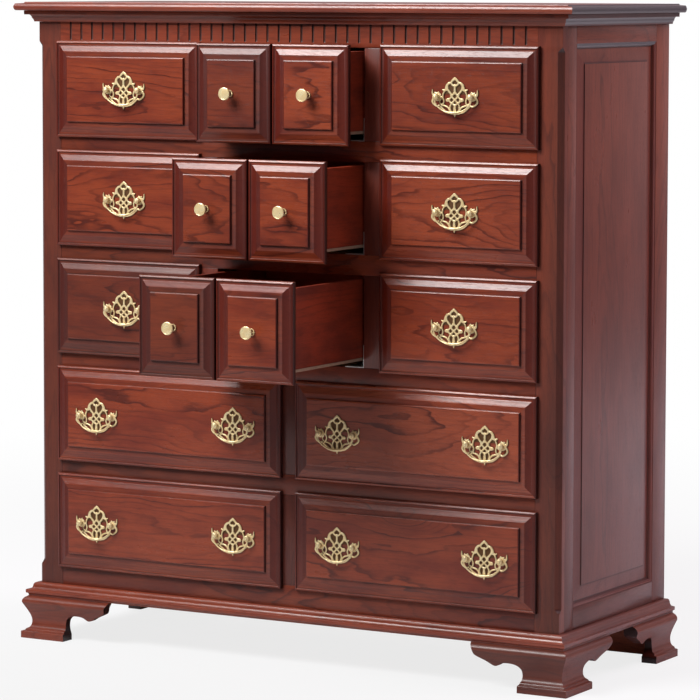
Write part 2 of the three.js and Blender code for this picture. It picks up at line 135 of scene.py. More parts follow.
def latheShell(profile, centre, axis, sides=40, tints=None):
    # a (radius, distance) profile turned about an axis: centre + distance axis + radius (cos t u + sin t v)
    axis = np.asarray(axis, float)
    u = np.cross(axis, [0, 0, 1] if abs(axis[2]) < 0.9 else [1, 0, 0])
    u /= np.linalg.norm(u)
    v = np.cross(axis, u)
    t = np.linspace(0, 2 * math.pi, sides, endpoint=False)
    circle = np.cos(t)[:, None] * u + np.sin(t)[:, None] * v
    profile = np.asarray(profile, float)
    rings = np.asarray(centre, float) + profile[:, 1, None, None] * axis + profile[:, 0, None, None] * circle
    return loftShell(rings, tint=None if tints is None else [tints.get(d, 0.0) for _, d in profile.tolist()])


def tubeShell(path, radii, sides):
    # circles of the given radii square to a path, carried along without twisting about the path's own plane
    path = np.asarray(path, float)
    tangent = np.gradient(path, axis=0)
    tangent /= np.linalg.norm(tangent, axis=1)[:, None]
    side = np.array([0, 1.0, 0])
    u = np.cross(tangent, side)
    u /= np.linalg.norm(u, axis=1)[:, None]
    t = np.linspace(0, 2 * math.pi, sides, endpoint=False)
    radii = np.asarray(radii, float)[:, None, None]
    rings = path[:, None] + radii * (np.cos(t)[:, None] * u[:, None] + np.sin(t)[:, None] * side)
    return loftShell(rings)


def smoothLine(points, steps=8):
    # Catmull-Rom curve through the points:
    # 0.5 (2b + (c - a) t + (2a - 5b + 4c - d) t^2 + (3b - a - 3c + d) t^3)
    p = np.asarray(points, float)
    p = np.vstack([2 * p[0] - p[1], p, 2 * p[-1] - p[-2]])
    t = np.linspace(0, 1, steps, endpoint=False)[:, None]
    a, b, c, d = (p[i:len(p) - 3 + i, None] for i in range(4))
    curve = 2 * b + (c - a) * t + (2 * a - 5 * b + 4 * c - d) * t ** 2 + (3 * b - a - 3 * c + d) * t ** 3
    return np.vstack([0.5 * curve.reshape(-1, p.shape[1]), p[-2]])


def turnedOutwards(points, faces):
    # the signed volume is the sum of p0 . (p1 x p2) / 6 over fans of triangles; below 0 means inside out
    volume = 0.0
    origin = points.mean(0)
    for block in faces:
        p = points[block] - origin
        for k in range(1, block.shape[1] - 1):
            volume += np.einsum("ij,ij->", p[:, 0], np.cross(p[:, k], p[:, k + 1]))
    return faces if volume >= 0 else [block[:, ::-1] for block in faces]


def endShare(points, block, along):
    # how far a face looks along its board: |n . a| with n the sum of p_k x p_(k + 1) round the face
    p = points[block] - points[block[:, :1]]
    normal = np.cross(p, np.roll(p, -1, axis=1)).sum(axis=1)
    return np.abs(normal[:, along]) / (np.linalg.norm(normal, axis=1) + 1e-9)


def putMesh(name, shells, material, body, nodes=(), move=(0, 0, 0), crisp=32):
    points, grains, tints, corners, sizes, ends, paintedSheens = [], [], [], [], [], [], []
    start = 0
    for shell in shells:
        for k, block in enumerate(turnedOutwards(shell["points"], shell["faces"])):
            corners.append(block.ravel() + start)
            sizes.append(np.full(len(block), block.shape[1]))
            share = endShare(shell["points"], block, shell["along"])
            # a shell's strip raises this share: painted shade added to the end-grain darkness
            ends.append(np.maximum(share, shell["strip"]) if k == 0 and "strip" in shell else share)
            paintedSheens.append(shell["haze"] if k == 0 and "haze" in shell else np.zeros(len(block)))
        points.append(shell["points"])
        grains.append(shell["grain"])
        tints.append(shell["tint"])
        start += len(shell["points"])
    points = (np.concatenate(points) + np.asarray(move, float) + [0, chest["faceY"], 0]) / 1000
    corners, sizes = np.concatenate(corners), np.concatenate(sizes)
    mesh = bpy.data.meshes.new(name)
    mesh.vertices.add(len(points))
    mesh.vertices.foreach_set("co", points.astype(np.float32).ravel())
    mesh.loops.add(len(corners))
    mesh.loops.foreach_set("vertex_index", corners.astype(np.int32))
    mesh.polygons.add(len(sizes))
    mesh.polygons.foreach_set("loop_start", (np.cumsum(sizes) - sizes).astype(np.int32))
    mesh.update(calc_edges=True)
    grain = mesh.attributes.new("grain", "FLOAT_VECTOR", "POINT")
    grain.data.foreach_set("vector", np.concatenate(grains).astype(np.float32).ravel())
    tint = mesh.attributes.new("tint", "FLOAT", "POINT")
    tint.data.foreach_set("value", np.concatenate(tints).astype(np.float32))
    for label, values in (("endGrain", ends), ("haze", paintedSheens)):
        layer = mesh.attributes.new(label, "FLOAT", "FACE")
        layer.data.foreach_set("value", np.concatenate(values).astype(np.float32))
    mesh.shade_smooth()
    mesh.set_sharp_from_angle(angle=math.radians(crisp))
    mesh.materials.append(material)
    piece = bpy.data.objects.new(name, mesh)
    bpy.context.scene.collection.objects.link(piece)
    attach(piece, body)
    if nodes:
        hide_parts(*nodes)
    return piece


# Materials
def addNode(tree, kind, inputs=None, **settings):
    node = tree.nodes.new("ShaderNode" + kind)
    for key, value in settings.items():
        setattr(node, key, value)
    for key, value in (inputs or {}).items():
        if isinstance(value, bpy.types.NodeSocket):
            tree.links.new(value, node.inputs[key])
        else:
            node.inputs[key].default_value = value
    return node


def maths(tree, operation, a, b=0.0, clamp=False):
    return addNode(tree, "Math", {0: a, 1: b}, operation=operation, use_clamp=clamp).outputs[0]


def ramp(tree, value, low, high, fromLow=0.0, fromHigh=1.0):
    given = {"Value": value, "From Min": low, "From Max": high, "To Min": fromLow, "To Max": fromHigh}
    return addNode(tree, "MapRange", given, interpolation_type="SMOOTHSTEP").outputs[0]


def mixColour(tree, share, first, second):
    node = addNode(tree, "Mix", data_type="RGBA")
    for socket, value in ((node.inputs[0], share), (node.inputs[6], first), (node.inputs[7], second)):
        if isinstance(value, bpy.types.NodeSocket):
            tree.links.new(value, socket)
        else:
            socket.default_value = value if isinstance(value, (int, float)) else (*value[:3], 1)
    return node.outputs[2]


def stretched(tree, grain, along, across, through=None):
    factors = (along, across, across if through is None else through)
    return addNode(tree, "VectorMath", {0: grain, 1: factors}, operation="MULTIPLY").outputs[0]


def stretchedNoise(tree, grain, along, across, detail=2.0, roughness=0.5):
    scaled = stretched(tree, grain, along, across)
    given = {"Vector": scaled, "Scale": 1.0, "Detail": detail, "Roughness": roughness}
    return addNode(tree, "TexNoise", given).outputs["Fac"]


def newGroup(name, inputs, outputs):
    tree = bpy.data.node_groups.new(name, "ShaderNodeTree")
    for direction, sockets in (("INPUT", inputs), ("OUTPUT", outputs)):
        for label, (kind, value) in sockets.items():
            socket = tree.interface.new_socket(label, in_out=direction, socket_type="NodeSocket" + kind)
            if value is not None:
                socket.default_value = value
    return tree, tree.nodes.new("NodeGroupInput").outputs, tree.nodes.new("NodeGroupOutput").inputs


# Wood: rings about a pith beside the board, bent by three noises and by a few knots, with long streaks, fine
# pores and a cloudy stain. Each ring ends in a thin dark line: up over 0.3..0.9 of the ring, down over the
# rest. A knot is a bump exp(-(d / 0.25)^2) round the middle of some Voronoi cells.
woodFigure, given, put = newGroup("woodFigure", {
    "Grain": ("Vector", None), "Tint": ("Float", 0.0), "End": ("Float", 0.0), "Haze": ("Float", 0.0),
    "Light": ("Color", (0.4, 0.1, 0.05, 1)), "Dark": ("Color", (0.2, 0.04, 0.02, 1)),
    "Line": ("Color", (0.1, 0.02, 0.01, 1)), "Line Strength": ("Float", 0.6),
    "Ring": ("Float", 0.008), "Wander": ("Float", 0.05), "Gloss": ("Float", 0.35),
}, {"Color": ("Color", None), "Roughness": ("Float", None), "Height": ("Float", None)})
tree, grain, wander = woodFigure, given["Grain"], given["Wander"]
slow = stretchedNoise(tree, grain, 1.8, 8.0, 1.0)
middling = stretchedNoise(tree, grain, 5.5, 24.0, 2.0)
quick = stretchedNoise(tree, grain, 30.0, 110.0, 2.0)
distance = addNode(tree, "VectorMath", {0: stretched(tree, grain, 0.03, 1)}, operation="LENGTH").outputs[1]
for noise, share in ((slow, 1.0), (middling, 0.34), (quick, 0.05)):
    reach = maths(tree, "MULTIPLY", wander, share)
    bend = maths(tree, "MULTIPLY", maths(tree, "SUBTRACT", noise, 0.5), reach)
    distance = maths(tree, "ADD", distance, bend)
knotPlace = stretched(tree, grain, 3.4, 9.0, 3.0)
cells = addNode(tree, "TexVoronoi", {"Vector": knotPlace, "Scale": 1.0}).outputs
hump = maths(tree, "DIVIDE", cells["Distance"], 0.25)
hump = maths(tree, "EXPONENT", maths(tree, "MULTIPLY", maths(tree, "MULTIPLY", hump, hump), -1.0))
chosen = ramp(tree, addNode(tree, "SeparateXYZ", {0: cells["Color"]}).outputs["X"], 0.84, 0.86)
knot = maths(tree, "MULTIPLY", hump, chosen)
bend = maths(tree, "MULTIPLY", knot, maths(tree, "MULTIPLY", wander, 0.6))
turns = maths(tree, "DIVIDE", maths(tree, "ADD", distance, bend), given["Ring"])
share = maths(tree, "FRACT", turns)
counted = maths(tree, "FLOOR", turns)
whichRing = addNode(tree, "TexWhiteNoise", {"W": counted}, noise_dimensions="1D").outputs["Value"]
wide, narrow = ramp(tree, share, 0.3, 0.85, 0.0, 0.25), ramp(tree, share, 0.66, 0.9, 0.0, 0.75)
line = maths(tree, "MINIMUM", maths(tree, "ADD", wide, narrow), ramp(tree, share, 0.93, 1.0, 1.0, 0.0))
patchy = ramp(tree, stretchedNoise(tree, grain, 7.0, 30.0, 1.0), 0.3, 0.6, 0.4, 1.0)
faded = maths(tree, "MULTIPLY", ramp(tree, whichRing, 0.1, 0.9, 0.35, 1.0), patchy)
line = maths(tree, "MULTIPLY", line, faded)
streak = stretchedNoise(tree, grain, 6.0, 240.0, 3.0, 0.6)
fine = stretchedNoise(tree, grain, 22.0, 620.0, 2.0, 0.6)
cloud = stretchedNoise(tree, grain, 5.0, 14.0, 4.0, 0.6)
fleck = ramp(tree, stretchedNoise(tree, grain, 30.0, 140.0, 2.0), 0.6, 0.78)
pore = ramp(tree, stretchedNoise(tree, grain, 70.0, 1500.0, 1.0), 0.62, 0.7)
base = mixColour(tree, ramp(tree, cloud, 0.36, 0.7), given["Light"], given["Dark"])
# above 0 the tint lightens towards a warm red: painted light, and lighter boards
lighter = maths(tree, "MULTIPLY", given["Tint"], 0.6, clamp=True)
base = mixColour(tree, lighter, base, (0.85, 0.24, 0.12))
marks = [
    (line, given["Line Strength"]), (ramp(tree, streak, 0.45, 0.78), 0.28),
    (ramp(tree, fine, 0.48, 0.75), 0.3), (fleck, 0.22), (pore, 0.36), (knot, 0.35),
]
for mask, strength in marks:
    base = mixColour(tree, maths(tree, "MULTIPLY", mask, strength), base, given["Line"])
# the end input darkens end grain from 0.08 to 0.42, where strips given such values also paint shade; from 0.5
# to 1 it goes on towards near black, which is painted shade only
ends = [(0.08, 0.42, 0.84, (0.075, 0.006, 0.0025)), (0.5, 1.0, 0.8, (0.014, 0.002, 0.0015))]
for low, high, strength, colour in ends:
    mask = maths(tree, "MULTIPLY", ramp(tree, given["End"], low, high), strength)
    base = mixColour(tree, mask, base, colour)
# below 0 the tint darkens towards near black, with more roughness: painted shade, and darker boards
shade = maths(tree, "MAXIMUM", given["Tint"], -1.0)
darker = maths(tree, "MULTIPLY", shade, -0.9, clamp=True)
base = mixColour(tree, darker, base, (0.006, 0.003, 0.002))
# this input paints sheen: below 0 a painted red glow, which also roughens; up to 1 a dull grey and over 1 a
# light grey, both painted reflection
glow = maths(tree, "MULTIPLY", given["Haze"], -1.0, clamp=True)
base = mixColour(tree, glow, base, (0.6, 0.02, 0.001))
base = mixColour(tree, maths(tree, "MULTIPLY", given["Haze"], 1.0, clamp=True), base, (0.085, 0.072, 0.078))
base = mixColour(tree, maths(tree, "SUBTRACT", given["Haze"], 1.0, clamp=True), base, (0.3, 0.25, 0.27))
tree.links.new(base, put["Color"])
uneven = maths(tree, "MULTIPLY", maths(tree, "SUBTRACT", cloud, 0.5), 0.16)
rough = maths(tree, "ADD", maths(tree, "ADD", given["Gloss"], uneven), maths(tree, "MULTIPLY", pore, 0.2))
rough = maths(tree, "ADD", rough, ramp(tree, glow, 0.0, 0.08, 0.0, 0.2))
tree.links.new(maths(tree, "ADD", rough, maths(tree, "MULTIPLY", darker, 0.3)), put["Roughness"])
relief = maths(tree, "ADD", maths(tree, "MULTIPLY", streak, 0.35), maths(tree, "MULTIPLY", line, -0.15))
tree.links.new(maths(tree, "ADD", relief, maths(tree, "MULTIPLY", pore, -0.6)), put["Height"])


def newMaterial(name):
    material = bpy.data.materials.new(name)
    material.use_nodes = True
    tree = material.node_tree
    tree.nodes.clear()
    return material, tree


def finishMaterial(tree, shader):
    output = tree.nodes.new("ShaderNodeOutputMaterial")
    tree.links.new(shader.outputs[0], output.inputs["Surface"])


def woodMaterial(name, look):
    material, tree = newMaterial(name)
    figure = addNode(tree, "Group", node_tree=woodFigure)
    attributes = {"grain": ("Vector", "Grain"), "tint": ("Fac", "Tint"), "endGrain": ("Fac", "End"),
                  "haze": ("Fac", "Haze")}
    for label, (output, socket) in attributes.items():
        carried = addNode(tree, "Attribute", attribute_name=label)
        tree.links.new(carried.outputs[output], figure.inputs[socket])
    for socket in ("Light", "Dark", "Line"):
        figure.inputs[socket].default_value = (*look[socket.lower()], 1)
    numbers = {"Ring": "ring", "Wander": "wander", "Line Strength": "lineStrength", "Gloss": "rough"}
    for socket, key in numbers.items():
        figure.inputs[socket].default_value = look[key]
    height = figure.outputs["Height"]
    bump = addNode(tree, "Bump", {"Strength": look["bump"], "Distance": 0.0004, "Height": height})
    shader = addNode(tree, "BsdfPrincipled", {
        "Base Color": figure.outputs["Color"], "Roughness": figure.outputs["Roughness"],
        "Normal": bump.outputs[0], "IOR": 1.5, "Specular IOR Level": look["shine"],
        "Coat Weight": look["coat"], "Coat Roughness": look["coatRough"],
    })
    finishMaterial(tree, shader)
    return material


satin = {"ring": 0.0052, "wander": 0.04, "lineStrength": 0.5, "rough": 0.3, "bump": 0.25, "shine": 0.5}
woods = {
    "frontWood": {
        **satin, "light": (0.305, 0.054, 0.0205), "dark": (0.19, 0.027, 0.0125),
        "line": (0.062, 0.0095, 0.0068), "wander": 0.05, "lineStrength": 0.85, "rough": 0.28,
        "coat": 0.15, "coatRough": 0.16,
    },
    "caseWood": {
        **satin, "light": (0.185, 0.037, 0.0215), "dark": (0.125, 0.022, 0.013),
        "line": (0.05, 0.0085, 0.006), "coat": 0.25, "coatRough": 0.18,
    },
    "trimWood": {
        **satin, "light": (0.285, 0.054, 0.0245), "dark": (0.2, 0.033, 0.0155),
        "line": (0.07, 0.0115, 0.008), "coat": 0.2, "coatRough": 0.18,
    },
    "boxWood": {
        "light": (0.36, 0.042, 0.0135), "dark": (0.17, 0.019, 0.0075), "line": (0.07, 0.009, 0.005),
        "ring": 0.01, "wander": 0.05, "lineStrength": 0.4, "rough": 0.5, "bump": 0.3, "shine": 0.35,
        "coat": 0.0, "coatRough": 0.4,
    },
    "plainWood": {
        "light": (0.42, 0.27, 0.16), "dark": (0.3, 0.18, 0.1), "line": (0.2, 0.11, 0.06),
        "ring": 0.008, "wander": 0.03, "lineStrength": 0.5, "rough": 0.65, "bump": 0.4, "shine": 0.3,
        "coat": 0.0, "coatRough": 0.5,
    },
}
wood = {name: woodMaterial(name, look) for name, look in woods.items()}


def metalMaterial(name, look):
    material, tree = newMaterial(name)
    place = addNode(tree, "TexCoord").outputs["Object"]
    given = {"Vector": place, "Scale": 90.0, "Detail": 4.0, "Roughness": 0.6}
    cloud = addNode(tree, "TexNoise", given).outputs["Fac"]
    fine = addNode(tree, "TexNoise", {"Vector": place, "Scale": 900.0, "Detail": 2.0}).outputs["Fac"]
    tint = addNode(tree, "Attribute", attribute_name="tint").outputs["Fac"]
    worn = mixColour(tree, ramp(tree, cloud, 0.35, 0.65), look["light"], look["dark"])
    # below 0 the tint darkens towards the deep colour, with more roughness: painted shade in hollows and
    # under parts
    deep = maths(tree, "MULTIPLY", tint, -1.0, clamp=True)
    colour = mixColour(tree, deep, worn, look["deep"])
    uneven = maths(tree, "MULTIPLY", maths(tree, "SUBTRACT", cloud, 0.5), 0.3)
    rough = maths(tree, "ADD", look["rough"], uneven)
    rough = maths(tree, "ADD", rough, maths(tree, "MULTIPLY", deep, 0.35))
    bump = addNode(tree, "Bump", {"Strength": look["bump"], "Distance": 0.0002, "Height": fine})
    shader = addNode(tree, "BsdfPrincipled", {
        "Base Color": colour, "Roughness": rough, "Normal": bump.outputs[0], "Metallic": look["metal"],
    })
    finishMaterial(tree, shader)
    return material


metals = {
    "agedBrass": {"light": (1.0, 0.83, 0.48), "dark": (0.92, 0.69, 0.35), "deep": (0.12, 0.05, 0.014),
                  "rough": 0.3, "metal": 0.33, "bump": 0.12},
    "zincSteel": {"light": (0.72, 0.72, 0.7), "dark": (0.6, 0.6, 0.58), "deep": (0.2, 0.2, 0.2),
                  "rough": 0.38, "metal": 0.9, "bump": 0.1},
    "paintedSteel": {"light": (0.4, 0.27, 0.19), "dark": (0.34, 0.23, 0.16), "deep": (0.2, 0.14, 0.1),
                     "rough": 0.45, "metal": 0.0, "bump": 0.1},
}
brass, steel, painted = (metalMaterial(name, look) for name, look in metals.items())
print("stage: materials ready")


# Top, bed moulding and base moulding
def mouldingShells(profile, inner, seed, haze):
    # a section of (overhang, height) carried round the front and both sides, cut at 45 degrees at the corners
    section = np.array(list(profile) + [(-inner, profile[-1][1]), (-inner, profile[0][1])], float)
    o, z = section[:, 0], section[:, 1]
    halfWidth, depth = chest["halfWidth"], chest["depth"]
    corner = {s: np.stack([s * (halfWidth + o), -o, z], -1) for s in (-1, 1)}
    end = {s: np.stack([s * (halfWidth + o), np.full_like(o, depth), z], -1) for s in (-1, 1)}
    shells = [loftShell([corner[-1], corner[1]], 0, 2, seed)]
    # the runs along the sides carry a painted sheen
    for k, s in enumerate((-1, 1)):
        shells.append(loftShell([corner[s], end[s]], 1, 2, seed + k + 1))
        shells[-1]["haze"] = np.ones(len(section)) * haze
    return shells


def softened(profile, radius=0.8, steps=3):
    # each inner corner of a line replaced by a small curve: the middle of a quadratic Bezier round it
    p = np.asarray(profile, float)
    out = [p[0]]
    for a, b, c in zip(p[:-2], p[1:-1], p[2:]):
        r = min(radius, 0.4 * np.linalg.norm(a - b), 0.4 * np.linalg.norm(c - b))
        start, end = b + (a - b) / np.linalg.norm(a - b) * r, b + (c - b) / np.linalg.norm(c - b) * r
        for t in np.linspace(0, 1, steps):
            out.append((1 - t) ** 2 * start + 2 * t * (1 - t) * b + t * t * end)
    out.append(p[-1])
    return np.array(out)


def arcLine(start, end, bulge, steps=7):
    # an arc from start to end: the straight line plus bulge sin(pi t) along its left normal
    start, end = np.asarray(start, float), np.asarray(end, float)
    t = np.linspace(0, 1, steps)[:, None]
    line = end - start
    normal = np.array([-line[1], line[0]]) / np.linalg.norm(line)
    return start + t * line + bulge * np.sin(math.pi * t) * normal


topPlan = {"under": 22.9, "base": 1320.3, "endHaze": 0.8}
top = topPlan["base"]
edge = np.vstack([
    [(topPlan["under"], top), (33.5, top)],
    arcLine((36.2, top + 0.4), (36.6, top + 13.6), -2.4, 9),
    softened([(35.6, top + 14.3), (24.2, top + 15.0), (22.7, top + 15.2), (21.6, top + 17.7)], 0.7),
])
halfWidth, depth = chest["halfWidth"], chest["depth"]
rings = []
for o, z in edge:
    x = halfWidth + o
    rings.append([(-x, depth, z), (-x, -o, z), (x, -o, z), (x, depth, z)])
shell = loftShell(rings, 0, 1, 11)
# the board's two ends carry a painted grey sheen
haze = np.zeros((len(rings) - 1, 4))
haze[:, [0, 2]] = topPlan["endHaze"]
shell["haze"] = haze.ravel()
putMesh("topBoard", [shell], wood["trimWood"], "case", ["top_board"])

bedPlan = {"inner": 60, "boardInset": 60.3, "haze": 0.6, "coveHaze": 1.2}
z = chest["caseTop"]
bedProfile = np.vstack([
    [(0, z), (7.4, z)],
    arcLine((7.6, 1298.0), (10.6, 1304.2), 0.5, 4),
    arcLine((10.9, 1304.8), (14.4, 1311.3), 0.7, 5),
    softened([(14.6, 1311.5), (22.6, 1311.6), (22.9, 1319.6), (22.0, 1320.0)], 0.6),
])
# a painted sheen on the side runs, and a light grey painted reflection in the cove
haze = np.full(len(bedProfile) + 2, bedPlan["haze"])
haze[3:11] = bedPlan["coveHaze"]
# the board that the moulding goes round, seen at the back
inset = bedPlan["boardInset"]
subBoard = boardShell((inset - halfWidth, inset, 1297.3), (halfWidth - inset, depth, 1320.0), 0, 25, 1.0)
shells = mouldingShells(bedProfile, bedPlan["inner"], 21, haze) + [subBoard]
putMesh("bedMoulding", shells, wood["trimWood"], "case", ["cornice_moulding"])

basePlan = {"ledge": 7.7, "inner": 30, "haze": 0.3}
z = chest["baseTop"]
baseProfile = np.vstack([
    [(0, z), (basePlan["ledge"], z)],
    arcLine((8.2, z - 0.3), (12.4, z - 4.6), 1.0, 5),
    arcLine((13.0, z - 5.6), (16.0, z - 13.0), -0.9, 6),
    arcLine((16.6, z - 13.6), (23.6, z - 14.4), -0.3, 3),
    arcLine((24.2, z - 15.0), (24.2, z - 21.4), 0.3, 4),
    arcLine((23.4, z - 22.2), (20.0, z - 24.8), -0.7, 4),
    [(20.0, z - 26.9)],
])
shells = mouldingShells(baseProfile, basePlan["inner"], 31, basePlan["haze"])
putMesh("baseMoulding", shells, wood["trimWood"], "case", ["base_moulding"])
print("stage: mouldings ready")


# Face frame
frontFrame = {
    "thick": 22, "outer": 556.0, "railEdge": 1250.5, "ease": 0.8, "lap": 4,
    "chamfer": 10.5, "chamferLow": 153, "chamferHigh": 1259, "stop": 14, "leastCut": 0.7, "cutRound": 0.35,
    "chamferTint": -0.6, "sideTint": -0.3, "cornerTint": {-1: 0.0, 1: -0.3},
    "postFadeAt": [117, 700, 1297], "postFade": {-1: [-0.6, -0.5, -0.5], 1: [-0.46, -0.34, -0.1]},
    "stiles": [(-216, -171.5), (171.5, 216)], "wideStile": [(-22.25, 22.25)], "stileTint": -0.3,
    "railFadeAt": [-190, -70], "wideFadeAt": [-40, 0],
    "railTint": [(-0.42, 0.02), (-0.52, 0.1), (-0.4, -0.2), (-0.54, -0.3), (-0.4, -0.26)],
    "grooves": 41, "groovePitch": 26.5, "grooveWidth": 5.2, "grooveDepth": 2.4, "grooveFoot": 1259.5,
}


def postShell(side):
    # rings up the post: a five-sided section whose outer front corner is cut by c(z), and c(z) runs out in a
    # quarter wave at each stop: c = chamfer (1 - cos(pi s)) / 2
    plan = frontFrame
    inner, outer, thick = plan["outer"], chest["halfWidth"], plan["thick"]
    low, high, stop = plan["chamferLow"], plan["chamferHigh"], plan["stop"]
    ramped = np.linspace(0, 1, 9)
    heights = [[chest["low"]], low + stop * ramped, high - stop * ramped[::-1], [chest["high"]]]
    heights = np.concatenate(heights)
    wave = 0.5 * (1 - np.cos(math.pi * ramped))
    cut = np.maximum(plan["chamfer"] * np.concatenate([[0], wave, wave[::-1], [0]]), plan["leastCut"])
    rings = []
    for h, c in zip(heights, cut):
        k = min(plan["cutRound"], 0.3 * c)
        loop = [(inner, thick), (inner, 0.0), (outer - c - k, 0.0), (outer - c + 0.7 * k, 0.3 * k),
                (outer - 0.3 * k, c - 0.7 * k), (outer, c + k), (outer, thick)]
        rings.append([(side * x, y, h) for x, y in loop])
    shell = loftShell(rings, 2, 0, 40 + side)
    # one tint a corner: back, front, chamfer, side; painted shade darkens the chamfer, the side less, and on
    # the right post the front next to the chamfer; the right post darkens downwards
    fade = np.interp(heights, plan["postFadeAt"], plan["postFade"][side])
    corner = fade + plan["cornerTint"][side]
    chamfer = np.where(cut > 2, plan["chamferTint"], plan["sideTint"])
    plain = np.full(len(cut), plan["sideTint"])
    shell["tint"] = np.stack([fade, fade, corner, chamfer, chamfer, plain, plain], axis=1).ravel()
    return shell


for side, word in ((-1, "left"), (1, "right")):
    nodes = ["face_frame"] if side < 0 else ()
    putMesh(f"post_{word}", [postShell(side)], wood["trimWood"], "case", nodes)

rails, stiles = [], []
edgeX = frontFrame["outer"] - 0.2
thick, lap, ease = (frontFrame[k] for k in ("thick", "lap", "ease"))
for row, bottom in enumerate(rowBottoms):
    lower = chest["rowTop"] - (row + 1) * chest["rowPitch"] - lap if row < 4 else chest["low"]
    fades = frontFrame["railFadeAt" if row < 3 else "wideFadeAt"]
    rail = boardShell((-edgeX, 0, lower), (edgeX, thick, bottom + lap), 0, 50 + row, ease, fades)
    rail["tint"] = np.interp(rail["points"][:, 0], fades, frontFrame["railTint"][row])
    rails.append(rail)
    low, high = bottom + lap + 0.2, chest["rowTop"] - row * chest["rowPitch"] - lap - 0.2
    for k, (x0, x1) in enumerate(frontFrame["stiles" if row < 3 else "wideStile"]):
        stiles.append(boardShell((x0, 0, low), (x1, thick, high), 2, 60 + 3 * row + k, ease))
        stiles[-1]["tint"] += frontFrame["stileTint"] * (row > 2)
putMesh("frontRails", rails, wood["frontWood"], "case", ())
putMesh("frontStiles", stiles, wood["caseWood"], "case", ())


def friezeShell():
    # outline of the rail's front face in plan, with a half-round hollow of depth d sqrt(1 - (2x/w)^2) at each
    # groove, carried up from the grooves' foot; the hollows run out downwards in a quarter circle
    plan = frontFrame
    x = (np.arange(plan["grooves"]) - (plan["grooves"] - 1) / 2) * plan["groovePitch"]
    t = np.linspace(-1, 1, 9)
    across = (x[:, None] + t * plan["grooveWidth"] / 2).ravel()
    deep = np.tile(plan["grooveDepth"] * np.sqrt(np.clip(1 - t * t, 0, 1)), len(x))
    edgeX = plan["outer"] - 0.3
    across = np.concatenate([[-edgeX], across, [edgeX]])
    deep = np.concatenate([[0], deep, [0]])
    low, high = plan["railEdge"] + 0.3, chest["high"]
    s = np.linspace(0, 1, 6)
    heights = np.concatenate([[low, low + 0.8], plan["grooveFoot"] + 2.6 * (1 - np.sqrt(1 - s * s)), [high]])
    heights = heights[:, None]
    share = np.concatenate([[0, 0], s, [1]])[:, None]
    lift = np.where(heights == low, 0.8, 0.0)
    front = np.stack(np.broadcast_arrays(across, share * deep + lift, heights), -1)
    back = np.stack(np.broadcast_arrays(across[::-1], plan["thick"] - 0.3, heights), -1)
    shell = loftShell(np.concatenate([front, back], axis=1), 0, 2, 71)
    # painted shade darkens the hollows, most at their deepest
    tint = np.zeros((len(heights), 2 * len(across)))
    tint[:, :len(across)] = -0.75 * share * deep / plan["grooveDepth"]
    shell["tint"] = tint.ravel()
    return shell


putMesh("frieze", [friezeShell()], wood["trimWood"], "case", ["frieze_rail"], crisp=50)
print("stage: face frame ready")


# Framed sides, back and inside
sideFrame = {
    "inner": 589.5, "outer": 609.5, "front": 22.3, "back": 483, "stile": 60, "topRail": 34, "bottomRail": 43,
    "sticking": 9, "recess": 8, "bevel": 30, "rise": 6.5, "ease": 0.6,
    # tints by height, painted light and shade: darker at the foot, lighter towards the top; the rear stile a
    # little lighter
    "tintAt": [117, 330, 560, 780, 1297], "rearTint": 0.08,
    "frameTint": [-0.2, 0.04, -0.04, 0.18, 0.26], "panelTint": [-0.14, 0.06, -0.12, 0.13, 0.19],
    # bottom, rear, top, front
    "stickingHaze": [-0.06, -0.04, 1.2, -0.04], "bevelHaze": [-0.02, -0.02, 0.0, -0.04],
}


def sideRings(span, places, insets):
    # a rectangle at each x, its edges moved inwards by the inset
    y0, y1, z0, z1 = span
    return [[(x, y0 + s, z0 + s), (x, y1 - s, z0 + s), (x, y1 - s, z1 - s), (x, y0 + s, z1 - s)]
            for x, s in zip(places, insets)]


